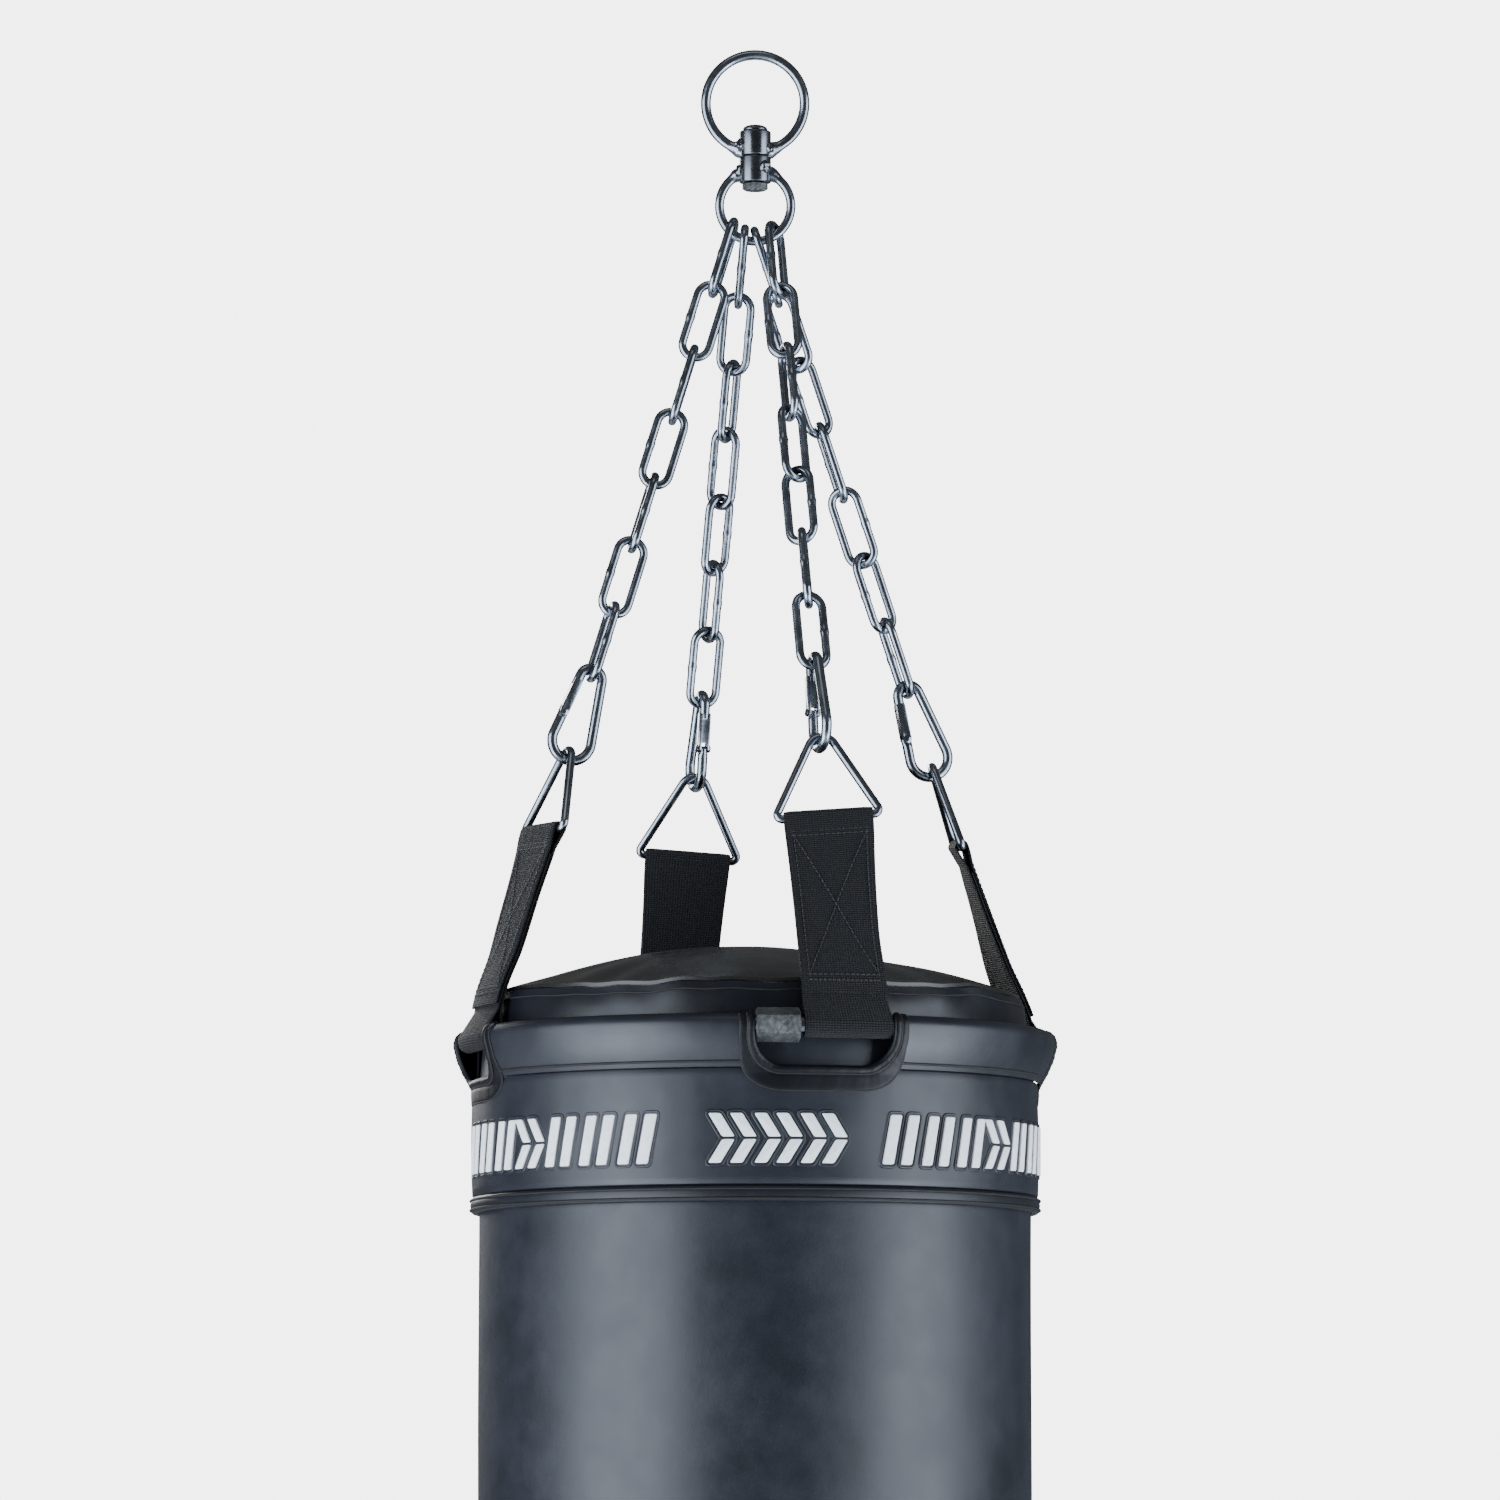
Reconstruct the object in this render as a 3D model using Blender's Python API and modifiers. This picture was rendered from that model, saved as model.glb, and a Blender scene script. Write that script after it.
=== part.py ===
"""Hanging heavy bag: a ring and swivel carry four chain legs, whose snap hooks and webbing straps
hold the steel rim of a padded leather cylinder.

Metres, +Z up. The origin is where the hook above bears on the inside of the hanging ring.
Four equal legs stand around the Z axis, named from the side that faces -Y.
"""
import math

import bmesh
import bpy
from mathutils import Matrix, Vector

GAP = 0.0003            # between faces that touch
PIN_PLAY = 0.0003       # around a shaft that turns
LINK_PLAY = 0.0003      # between chain pieces under load
RING_PLAY = 0.0014      # between the lower ring and the first links

# Hanging ring and swivel
HANGING_WIRE = 0.006
HANGING_RADIUS = 0.029
BARREL_RADIUS = 0.0093
UPPER_BARREL_HEIGHT = 0.0148
LOWER_BARREL_HEIGHT = 0.0155
BARREL_ABOVE_RING_WIRE = 0.0123
PIN_RADIUS = 0.004
PIN_HEAD_RADIUS = 0.0073
PIN_HEAD_HEIGHT = 0.0037
SWIVEL_NUT_FLATS = 0.013
SWIVEL_NUT_HEIGHT = 0.0041
LOWER_WIRE = 0.0055
LOWER_RADIUS = 0.021
LOWER_RING_DROP = 0.0136   # lower ring's centre below the lower barrel's foot

# Chain legs
LINK_WIRE = 0.005
LINK_LENGTH = 0.0505
LINK_WIDTH = 0.021
LINK_COUNT = 7

HOOK_WIRE = 0.006
HOOK_LENGTH = 0.062
HOOK_TOP_WIDTH = 0.0195
HOOK_BOTTOM_WIDTH = 0.0295
NOSE_END = 0.003           # along the hook's straight side, from the top bow
PIVOT_PLACE = 0.0245
TANG_THICKNESS = 0.0028
TANG_RADIUS = 0.003
GATE_WIDTH = 0.0064
GATE_DEPTH = 0.0052
GATE_SLOT = 0.0036
NOSE_TONGUE = 0.0034
RIVET_RADIUS = 0.0015

TRIANGLE_WIRE = 0.005
TRIANGLE_HEIGHT = 0.0545
TRIANGLE_SIDE_ROOM = 0.012   # wires and clearance beside the strap
TRIANGLE_APEX_RADIUS = 0.008
TRIANGLE_CORNER_RADIUS = 0.003

STRAP_WIDTH = 0.0505
STRAP_LAYER = 0.0016
STRAP_PLAY = 0.0003
STRAP_HOOP_PLAY = 0.0005
STRAP_NECK = 2.2           # each loop closes this many of its radii from its rod

# Rim
HOOP_ROD = 0.010
HOOP_DEPTH = 0.5793        # below the origin
COUPLING_FLATS = 0.017
COUPLING_LENGTH = 0.025
COUPLING_ROOM = 0.0021     # between the nut and the front strap
SLEEVE_LEATHER = 0.0012
SLEEVE_PLAY = 0.0006
SLEEVE_BAG_PLAY = 0.0005
SLEEVE_FOOT = 0.0232       # below the hoop
SLEEVE_FOOT_PROUD = 0.0053  # of the bag
WINDOW_STRAP_ROOM = 0.00255  # beyond the strap
WINDOW_NUT_ROOM = 0.00225    # beyond the nut
WINDOW_DEPTH = 0.0205      # below the hoop
WINDOW_CORNER = 0.017

# Bag
BAG_RADIUS = 0.1595
BAG_BOTTOM = 1.7705        # below the origin
BAG_LEATHER = 0.002
BAND_THICKNESS = 0.004      # with its padding
BAND_HEIGHT = 0.0654
TAPE_PROUD = 0.0008         # of the band
TAPE_HEIGHT = 0.009
NECK_DRAWN_IN = 0.0023
NECK_ABOVE_HOOP = 0.0028
COLLAR_STRAP_ROOM = 0.0041  # from the middle of the straps at its top
COLLAR_HEIGHT = 0.0218
LID_HEIGHT = 0.029
LID_FALL = 1.15            # above 1 its edge flattens out
BOTTOM_ROUND = 0.010

BAG_SIDES = 48
RIM_SIDES = 60

# Each leg: direction, the place on the lower ring's wire that it hangs from (x), the bearing that
# its first link faces, the twist from first link to last, which way its gate faces (1 inwards), and
# how far its triangle ring is turned out of the leg's own direction.
LEGS = {
    "front": {"azimuth": -72.0, "ring_x": 0.0114, "turn": -27.0, "twist": 135.0, "gate": -1, "face": -15.0},
    "right": {"azimuth": 18.0, "ring_x": 0.0017, "turn": -1.0, "twist": -161.0, "gate": -1, "face": -15.0},
    "back": {"azimuth": 108.0, "ring_x": -0.0065, "turn": -1.0, "twist": -71.0, "gate": -1, "face": -14.0},
    "left": {"azimuth": 198.0, "ring_x": -0.0140, "turn": -5.0, "twist": 23.0, "gate": 1, "face": 6.0},
}

# Heights that follow from the sizes above
HANGING_CENTRE = -(HANGING_RADIUS - HANGING_WIRE / 2)
UPPER_BARREL_TOP = HANGING_CENTRE - HANGING_RADIUS + BARREL_ABOVE_RING_WIRE
UPPER_BARREL_FOOT = UPPER_BARREL_TOP - UPPER_BARREL_HEIGHT
LOWER_BARREL_TOP = UPPER_BARREL_FOOT - PIN_PLAY
LOWER_BARREL_FOOT = LOWER_BARREL_TOP - LOWER_BARREL_HEIGHT
LOWER_CENTRE = LOWER_BARREL_FOOT - LOWER_RING_DROP
TRIANGLE_WIDTH = STRAP_WIDTH + TRIANGLE_SIDE_ROOM
HOOP_Z = -HOOP_DEPTH
HOOP_RADIUS = BAG_RADIUS + SLEEVE_BAG_PLAY + SLEEVE_LEATHER + SLEEVE_PLAY + HOOP_ROD / 2
NUT_REACH = STRAP_WIDTH / 2 + COUPLING_ROOM + COUPLING_LENGTH
STRAP_REACH = STRAP_WIDTH / 2
HOOP_SPLIT = LEGS["front"]["azimuth"] - math.degrees((NUT_REACH - COUPLING_LENGTH / 2) / HOOP_RADIUS)
WINDOW_HALF_WIDTH = (NUT_REACH + WINDOW_NUT_ROOM + STRAP_REACH + WINDOW_STRAP_ROOM) / 2
WINDOW_OFFSET = math.degrees((STRAP_REACH + WINDOW_STRAP_ROOM - WINDOW_HALF_WIDTH) / HOOP_RADIUS)
SLEEVE_FOOT_RADIUS = BAG_RADIUS + SLEEVE_FOOT_PROUD
BAND_RADIUS = BAG_RADIUS + BAND_THICKNESS
TAPE_RADIUS = BAND_RADIUS + TAPE_PROUD
NECK_RADIUS = BAG_RADIUS - NECK_DRAWN_IN
LEG_SLOPE = HOOP_RADIUS / (HOOP_DEPTH + LOWER_CENTRE - LOWER_RADIUS)
COLLAR_RADIUS = HOOP_RADIUS - LEG_SLOPE * (NECK_ABOVE_HOOP + GAP + COLLAR_HEIGHT) - COLLAR_STRAP_ROOM
SLEEVE_FOOT_Z = HOOP_Z - SLEEVE_FOOT
NECK_Z = HOOP_Z + NECK_ABOVE_HOOP
BAND_TOP = SLEEVE_FOOT_Z - GAP
BAND_FOOT = BAND_TOP - BAND_HEIGHT
COLLAR_FOOT = NECK_Z + GAP
COLLAR_TOP = COLLAR_FOOT + COLLAR_HEIGHT
LID_FOOT = COLLAR_TOP + GAP
BOTTOM_Z = -BAG_BOTTOM
BOTTOM_RADIUS = BAG_RADIUS - BOTTOM_ROUND / 2
SKIN_FOOT = BOTTOM_Z + BAG_LEATHER + GAP


def new_material(name, colour, roughness, metallic=0.0):
    """A Principled material in one plain colour."""
    material = bpy.data.materials.new(name)
    material.use_nodes = True
    shader = material.node_tree.nodes["Principled BSDF"]
    shader.inputs["Base Color"].default_value = (*colour, 1.0)
    shader.inputs["Roughness"].default_value = roughness
    shader.inputs["Metallic"].default_value = metallic
    material.diffuse_color = (*colour, 1.0)
    return material


def add_piece(name, data, look, place=None):
    """A named part in the bag's collection."""
    piece = bpy.data.objects.new(name, data)
    parts.objects.link(piece)
    piece.matrix_world = place if place is not None else Matrix.Identity(4)
    data.materials.clear()
    data.materials.append(new_material(name, *look))
    return piece


def add_cutter(name, data, place=None):
    """A hidden wireframe shape for a Boolean."""
    cutter = bpy.data.objects.new(name, data)
    cutters.objects.link(cutter)
    cutter.matrix_world = place if place is not None else Matrix.Identity(4)
    cutter.display_type = "WIRE"
    cutter.hide_render = True
    return cutter


def solid_mesh(source, name):
    """The evaluated object as a mesh of its own, with its caps welded; the object is removed."""
    bpy.context.view_layer.update()
    evaluated = source.evaluated_get(bpy.context.evaluated_depsgraph_get())
    mesh = bpy.data.meshes.new_from_object(evaluated)
    mesh.name = name
    shape = bmesh.new()
    shape.from_mesh(mesh)
    bmesh.ops.remove_doubles(shape, verts=shape.verts, dist=0.000005)
    shape.to_mesh(mesh)
    shape.free()
    bpy.data.objects.remove(source)
    return mesh


def smooth(mesh, angle=35.0):
    mesh.shade_smooth()
    mesh.set_sharp_from_angle(angle=math.radians(angle))
    return mesh


def block(name, size, place):
    """A box cutter."""
    mesh = bpy.data.meshes.new(name)
    shape = bmesh.new()
    bmesh.ops.create_cube(shape, size=1.0, matrix=Matrix.Diagonal((*size, 1.0)))
    shape.to_mesh(mesh)
    shape.free()
    return add_cutter(name, mesh, place)


def rod(name, radius, length, place):
    """A round cutter along its own Z."""
    mesh = bpy.data.meshes.new(name)
    shape = bmesh.new()
    bmesh.ops.create_cone(shape, cap_ends=True, segments=16, radius1=radius, radius2=radius, depth=length)
    shape.to_mesh(mesh)
    shape.free()
    return add_cutter(name, mesh, place)


def boolean(target, tool, operation):
    modifier = target.modifiers.new(tool.name, "BOOLEAN")
    modifier.object = tool
    modifier.operation = operation


def wire(name, points, diameter, closed, sides=2):
    """Round wire along points."""
    curve = bpy.data.curves.new(name, "CURVE")
    curve.dimensions = "3D"
    curve.bevel_depth = diameter / 2
    curve.bevel_resolution = sides
    curve.use_fill_caps = True
    spline = curve.splines.new("POLY")
    spline.points.add(len(points) - 1)
    for slot, point in zip(spline.points, points):
        slot.co = (*point, 1.0)
    spline.use_cyclic_u = closed
    return curve


def plate(name, outlines, thickness):
    """Flat outlines in XY, the first with the others as its holes, as thick as said, about z = 0."""
    curve = bpy.data.curves.new(name, "CURVE")
    curve.dimensions = "2D"
    curve.fill_mode = "BOTH"
    curve.extrude = thickness / 2
    for outline in outlines:
        spline = curve.splines.new("POLY")
        spline.points.add(len(outline) - 1)
        for slot, point in zip(spline.points, outline):
            slot.co = (point[0], point[1], 0.0, 1.0)
        spline.use_cyclic_u = True
    return curve


def plate_mesh(name, outlines, thickness):
    return solid_mesh(add_cutter(name, plate(name, outlines, thickness)), name)


def turned(name, profile, look, sides, closed=True):
    """A profile of (radius, height), down its outer side first, turned about Z."""
    mesh = bpy.data.meshes.new(name)
    shape = bmesh.new()
    ring = [shape.verts.new((radius, 0.0, height)) for radius, height in profile]
    for first, second in zip(ring, ring[1:]):
        shape.edges.new((first, second))
    if closed:
        shape.edges.new((ring[-1], ring[0]))
    shape.to_mesh(mesh)
    shape.free()
    piece = add_piece(name, mesh, look)
    screw = piece.modifiers.new("turn", "SCREW")
    screw.steps = sides
    screw.render_steps = sides
    screw.use_merge_vertices = True
    screw.merge_threshold = 0.00001
    screw.use_smooth_shade = True
    return piece


def arc(centre, radius, start, end, steps):
    """Points on an arc, in degrees, both ends included."""
    points = []
    for step in range(steps + 1):
        angle = math.radians(start + (end - start) * step / steps)
        points.append((centre[0] + radius * math.cos(angle), centre[1] + radius * math.sin(angle)))
    return points


def belt(circles, steps):
    """A loop drawn tight around circles of (x, z, radius), which are in anticlockwise order."""
    tangents = []
    for first, second in zip(circles, circles[1:] + circles[:1]):
        run = Vector((second[0] - first[0], second[1] - first[1]))
        lean = math.asin((first[2] - second[2]) / run.length)
        tangents.append(math.atan2(run.y, run.x) - math.pi / 2 + lean)
    points = []
    for index, circle in enumerate(circles):
        start, end = tangents[index - 1], tangents[index]
        while end < start:
            end += 2 * math.pi
        points += arc(circle[:2], circle[2], math.degrees(start), math.degrees(end), steps)
    return points


def upright(points):
    """Points of (x, z) set up in the XZ plane."""
    return [(x, 0.0, z) for x, z in points]


def frame_at(point, up, normal):
    """A frame whose Z is up and whose Y is as near to normal as it can be."""
    z_axis = up.normalized()
    y_axis = (normal - z_axis * normal.dot(z_axis)).normalized()
    x_axis = y_axis.cross(z_axis)
    turn = Matrix((x_axis, y_axis, z_axis)).transposed().to_4x4()
    return Matrix.Translation(point) @ turn


def bearing(degrees, radius=1.0, height=0.0):
    """The point at a compass bearing about Z."""
    angle = math.radians(degrees)
    return Vector((radius * math.cos(angle), radius * math.sin(angle), height))


def leg_line(leg):
    """A leg's start on the lower ring's wire, its end on the hoop, and its upward direction."""
    drop = math.sqrt(LOWER_RADIUS ** 2 - leg["ring_x"] ** 2)
    start = Vector((leg["ring_x"], 0.0, LOWER_CENTRE - drop))
    end = bearing(leg["azimuth"], HOOP_RADIUS, HOOP_Z)
    return start, end, (start - end).normalized()


STEEL = ((0.55, 0.57, 0.60), 0.28, 1.0)
NUT_STEEL = ((0.38, 0.38, 0.38), 0.42, 1.0)
LEATHER = ((0.022, 0.023, 0.026), 0.42)
SEAM_LEATHER = ((0.018, 0.018, 0.020), 0.45)
WEBBING = ((0.012, 0.012, 0.014), 0.80)
STUFFING = ((0.35, 0.33, 0.30), 0.95)


def make_rings():
    """Both rings, each open where its swivel barrel sits."""
    for name, radius, thickness, centre, middle in (
        ("hanging_ring", HANGING_RADIUS, HANGING_WIRE, HANGING_CENTRE, -90.0),
        ("lower_ring", LOWER_RADIUS, LOWER_WIRE, LOWER_CENTRE, 90.0),
    ):
        opening = math.degrees(math.asin((BARREL_RADIUS + GAP) / (radius - thickness / 2)))
        points = upright(arc((0.0, centre), radius, middle + opening, middle + 360.0 - opening, 24))
        add_piece(name, wire(name, points, thickness, False), STEEL)


def make_swivel():
    """Two barrels on one headed pin, with its nut below."""
    bore = PIN_RADIUS + PIN_PLAY
    edge = 0.0008
    for name, top, foot in (
        ("swivel_upper_barrel", UPPER_BARREL_TOP, UPPER_BARREL_FOOT),
        ("swivel_lower_barrel", LOWER_BARREL_TOP, LOWER_BARREL_FOOT),
    ):
        profile = [(BARREL_RADIUS - edge, top), (BARREL_RADIUS, top - edge), (BARREL_RADIUS, foot + edge)]
        profile += [(BARREL_RADIUS - edge, foot), (bore, foot), (bore, top)]
        turned(name, profile, STEEL, 24)
    seat = UPPER_BARREL_TOP + GAP
    nut_middle = LOWER_BARREL_FOOT - GAP - SWIVEL_NUT_HEIGHT / 2
    dome = (PIN_HEAD_RADIUS ** 2 + PIN_HEAD_HEIGHT ** 2) / (2 * PIN_HEAD_HEIGHT)
    rise = math.degrees(math.asin(PIN_HEAD_RADIUS / dome))
    profile = arc((0.0, seat + PIN_HEAD_HEIGHT - dome), dome, 90.0, 90.0 - rise, 5)
    profile[0] = (0.0, seat + PIN_HEAD_HEIGHT)
    profile += [(PIN_RADIUS, seat), (PIN_RADIUS, nut_middle - SWIVEL_NUT_HEIGHT / 2 - GAP)]
    profile += [(0.0, nut_middle - SWIVEL_NUT_HEIGHT / 2 - GAP)]
    turned("swivel_pin", profile, STEEL, 24, closed=False)
    corner = SWIVEL_NUT_FLATS / math.sqrt(3)
    outlines = [arc((0, 0), corner, 0, 300, 5), arc((0, 0), bore, 0, 345, 23)]
    nut = plate_mesh("swivel_nut", outlines, SWIVEL_NUT_HEIGHT)
    add_piece("swivel_nut", nut, NUT_STEEL, Matrix.Translation((0, 0, nut_middle)))


def link_curve():
    bow = (LINK_WIDTH - LINK_WIRE) / 2
    reach = (LINK_LENGTH - LINK_WIRE) / 2 - bow
    return wire("chain_link", upright(belt([(0, -reach, bow), (0, reach, bow)], 6)), LINK_WIRE, True)


def hook_side():
    """The snap hook's outline and the frame of its gate side: origin at the top bow's end, Z up."""
    top = (HOOK_TOP_WIDTH - HOOK_WIRE) / 2
    foot = (HOOK_BOTTOM_WIDTH - HOOK_WIRE) / 2
    steps = 8
    loop = belt([(0.0, HOOK_WIRE - HOOK_LENGTH + foot, foot), (0.0, -top, top)], steps)
    foot_bow, top_bow = loop[:steps + 1], loop[steps + 1:]
    low, high = Vector(foot_bow[-1]), Vector(top_bow[0])
    lean = math.atan2(high.x - low.x, high.y - low.y)
    side = Matrix.Translation((high.x, 0.0, high.y)) @ Matrix.Rotation(lean, 4, "Y")
    return foot_bow, top_bow, side


def make_hook_mesh():
    """The snap hook without its gate: a pear-shaped wire with flattened ends and the gate's rivet."""
    foot_bow, top_bow, side = hook_side()
    nose = side @ Vector((0.0, 0.0, -NOSE_END - NOSE_TONGUE))
    pivot = side @ Vector((0.0, 0.0, -PIVOT_PLACE))
    points = [nose, *[Vector(point) for point in upright(top_bow + foot_bow)], pivot]
    bent = add_cutter("hook_wire", wire("hook_wire", points, HOOK_WIRE, False))
    body = add_cutter("hook_body", solid_mesh(bent, "hook_body"))
    for name, middle, reach in (
        ("nose_flat", NOSE_END + NOSE_TONGUE / 2 + GAP, NOSE_TONGUE + 2 * GAP),
        ("tang_flat", PIVOT_PLACE, 2 * TANG_RADIUS),
    ):
        for face in (-1, 1):
            offset = face * (TANG_THICKNESS + HOOK_WIRE) / 2
            place = side @ Matrix.Translation((0.0, offset, -middle))
            boolean(body, block(name, (2 * HOOK_WIRE, HOOK_WIRE, reach), place), "DIFFERENCE")
    across = Matrix.Translation(pivot) @ Matrix.Rotation(math.pi / 2, 4, "X")
    boolean(body, rod("tang", TANG_RADIUS, TANG_THICKNESS, across), "UNION")
    boolean(body, rod("rivet", RIVET_RADIUS, GATE_WIDTH + 4 * GAP, across), "UNION")
    return smooth(solid_mesh(body, "snap_hook"))


def make_gate_mesh():
    """The gate, with its pivot at the origin and the pivot's axis along Y: forked at both ends."""
    half = GATE_DEPTH / 2
    edge = GATE_DEPTH / 6
    top = PIVOT_PLACE - NOSE_END - GAP
    outline = arc((0, 0), half, 180, 360, 8)
    outline += [(half, top - edge), (half - edge, top), (edge - half, top), (-half, top - edge)]
    bore = arc((0, 0), RIVET_RADIUS + PIN_PLAY, 0, 337.5, 15)
    flat = plate_mesh("gate_body", [outline, bore], GATE_WIDTH)
    flat.transform(Matrix.Rotation(math.pi / 2, 4, "X"))
    body = add_cutter("gate_body", flat)
    fork = TANG_RADIUS + 2 * GAP
    for name, low, high in (
        ("tang_slot", -2 * half, fork),
        ("nose_slot", top - NOSE_TONGUE - GAP, top + half),
    ):
        place = Matrix.Translation((0.0, 0.0, (low + high) / 2))
        boolean(body, block(name, (2 * GATE_DEPTH, GATE_SLOT, high - low), place), "DIFFERENCE")
    return smooth(solid_mesh(body, "gate"))


def triangle_curve():
    """The triangle ring, with its apex at the origin and its base rod below."""
    height = TRIANGLE_HEIGHT - TRIANGLE_WIRE
    half = (TRIANGLE_WIDTH - TRIANGLE_WIRE) / 2
    corner = TRIANGLE_CORNER_RADIUS
    circles = [
        (0.0, -TRIANGLE_APEX_RADIUS, TRIANGLE_APEX_RADIUS),
        (corner - half, corner - height, corner),
        (half - corner, corner - height, corner),
    ]
    return wire("triangle_ring", upright(belt(circles, 6)), TRIANGLE_WIRE, True)


def strap_mesh(name, leg, rod_frame, length):
    """Doubled webbing from the triangle's base rod to the hoop, with a loop round each.

    Its outline is drawn once, with z = 0 on the hoop, and then laid so that its foot follows the
    hoop's curve and its head the straight rod.
    """
    foot_hole = HOOP_ROD / 2 + STRAP_HOOP_PLAY
    head_hole = TRIANGLE_WIRE / 2 + STRAP_PLAY
    foot, head = foot_hole + STRAP_LAYER, head_hole + STRAP_LAYER
    outline = arc((0, 0), foot, 140, 400, 14) + [(STRAP_LAYER, STRAP_NECK * foot)]
    outline += [(STRAP_LAYER, length - STRAP_NECK * head)] + arc((0, length), head, -40, 220, 10)
    outline += [(-STRAP_LAYER, length - STRAP_NECK * head), (-STRAP_LAYER, STRAP_NECK * foot)]
    holes = [arc((0, 0), foot_hole, 0, 337.5, 15), arc((0, length), head_hole, 0, 330, 11)]
    mesh = plate_mesh(name, [outline, *holes], STRAP_WIDTH)
    shape = bmesh.new()
    shape.from_mesh(mesh)
    for share in (-0.5, -0.25, 0.0, 0.25, 0.5):
        bmesh.ops.bisect_plane(
            shape, geom=shape.verts[:] + shape.edges[:] + shape.faces[:],
            plane_co=(0, 0, share * STRAP_WIDTH), plane_no=(0, 0, 1), dist=0.000001)
    lean = math.acos(leg_line(leg)[2].z)
    for vert in shape.verts:
        out, up, along = vert.co
        at = leg["azimuth"] - math.degrees(along / HOOP_RADIUS)
        rise = bearing(at, -math.sin(lean), math.cos(lean))
        outward = bearing(at, math.cos(lean), math.sin(lean))
        low = bearing(at, HOOP_RADIUS, HOOP_Z) + outward * out + rise * up
        high = rod_frame @ Vector((along, out, up - length))
        share = min(max((up - 2 * foot) / (length - 2 * foot - 2 * head), 0.0), 1.0)
        vert.co = low.lerp(high, share)
    shape.to_mesh(mesh)
    shape.free()
    return smooth(mesh)


def make_legs():
    """Four legs, each with its links, snap hook, gate, triangle ring and strap."""
    link = link_curve()
    hook = make_hook_mesh()
    gate = make_gate_mesh()
    triangle = triangle_curve()
    side = hook_side()[2]
    bow_to_bow = LINK_LENGTH - LINK_WIRE
    link_step = bow_to_bow - LINK_WIRE - LINK_PLAY
    for side_name, leg in LEGS.items():
        start, end, up = leg_line(leg)
        radial = bearing(leg["azimuth"])
        first_bow = -((LOWER_WIRE + LINK_WIRE) / 2 + RING_PLAY)
        turn = 90.0 + leg["twist"] / (LINK_COUNT - 1)
        for index in range(LINK_COUNT):
            middle = start - up * (first_bow + index * link_step + bow_to_bow / 2)
            normal = bearing(leg["turn"] + index * turn)
            name = f"chain_{side_name}_link_{index + 1}"
            add_piece(name, link.copy(), STEEL, frame_at(middle, up, normal))
        last_bow = first_bow + (LINK_COUNT - 1) * link_step + bow_to_bow
        hook_bow = last_bow - (LINK_WIRE + HOOK_WIRE) / 2 - LINK_PLAY
        across = up.cross(radial) * leg["gate"]
        hook_frame = frame_at(start - up * hook_bow, up, across)
        add_piece(f"carabiner_{side_name}", hook.copy(), STEEL, hook_frame)
        pivot = hook_frame @ side @ Matrix.Translation((0.0, 0.0, -PIVOT_PLACE))
        add_piece(f"gate_{side_name}", gate.copy(), STEEL, pivot)
        apex = hook_bow + HOOK_LENGTH - HOOK_WIRE - (HOOK_WIRE + TRIANGLE_WIRE) / 2 - LINK_PLAY
        facing = bearing(leg["azimuth"] + leg["face"])
        triangle_frame = frame_at(start - up * apex, up, facing)
        add_piece(f"triangle_ring_{side_name}", triangle.copy(), STEEL, triangle_frame)
        drop = TRIANGLE_HEIGHT - TRIANGLE_WIRE
        rod_frame = triangle_frame @ Matrix.Translation((0.0, 0.0, -drop))
        length = (start - end).length - apex - drop
        strap = strap_mesh(f"strap_{side_name}", leg, rod_frame, length)
        add_piece(f"strap_{side_name}", strap, WEBBING)


def make_hoop():
    """The rim's rod, bent round until its ends meet in a coupling nut."""
    split = math.degrees(GAP / HOOP_RADIUS)
    ring = arc((0, 0), HOOP_RADIUS, HOOP_SPLIT + split, HOOP_SPLIT + 360 - split, 72)
    points = [(x, y, HOOP_Z) for x, y in ring]
    add_piece("rim_hoop", wire("rim_hoop", points, HOOP_ROD, False), STEEL)
    rise = HOOP_RADIUS - math.sqrt(HOOP_RADIUS ** 2 - (COUPLING_LENGTH / 2) ** 2)
    bore = HOOP_ROD / 2 + rise / 2 + PIN_PLAY
    corner = COUPLING_FLATS / math.sqrt(3)
    outlines = [arc((0, 0), corner, 0, 300, 5), arc((0, 0), bore, 0, 345, 23)]
    nut = plate_mesh("hoop_coupling_nut", outlines, COUPLING_LENGTH)
    place = bearing(HOOP_SPLIT, HOOP_RADIUS - rise / 2, HOOP_Z)
    tangent = bearing(HOOP_SPLIT + 90)
    add_piece("hoop_coupling_nut", nut, NUT_STEEL, frame_at(place, tangent, bearing(HOOP_SPLIT)))


def make_sleeve():
    """The leather folded over the hoop, with a round-cornered window for each strap."""
    inside = HOOP_ROD / 2 + SLEEVE_PLAY
    outside = inside + SLEEVE_LEATHER
    centre = (HOOP_RADIUS, HOOP_Z)
    profile = arc(centre, outside, 180, -20, 7) + [(SLEEVE_FOOT_RADIUS, SLEEVE_FOOT_Z)]
    profile += [(SLEEVE_FOOT_RADIUS - SLEEVE_LEATHER, SLEEVE_FOOT_Z)] + arc(centre, inside, -20, 180, 7)
    profile += [(HOOP_RADIUS - inside, SLEEVE_FOOT_Z), (HOOP_RADIUS - outside, SLEEVE_FOOT_Z)]
    sleeve = turned("rim_sleeve", profile, LEATHER, RIM_SIDES)
    above = 2 * HOOP_ROD
    half = WINDOW_HALF_WIDTH
    round_at = (half - WINDOW_CORNER, WINDOW_CORNER - WINDOW_DEPTH)
    outline = arc((-round_at[0], round_at[1]), WINDOW_CORNER, 180, 270, 6)
    outline += arc(round_at, WINDOW_CORNER, 270, 360, 6) + [(half, above), (-half, above)]
    for side_name, leg in LEGS.items():
        window = plate_mesh(f"window_{side_name}", [outline], 6 * HOOP_ROD)
        facing = leg["azimuth"] + WINDOW_OFFSET
        frame = frame_at(bearing(facing, HOOP_RADIUS, HOOP_Z), bearing(facing), Vector((0, 0, 1)))
        boolean(sleeve, add_cutter(f"window_{side_name}", window, frame), "DIFFERENCE")


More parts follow.
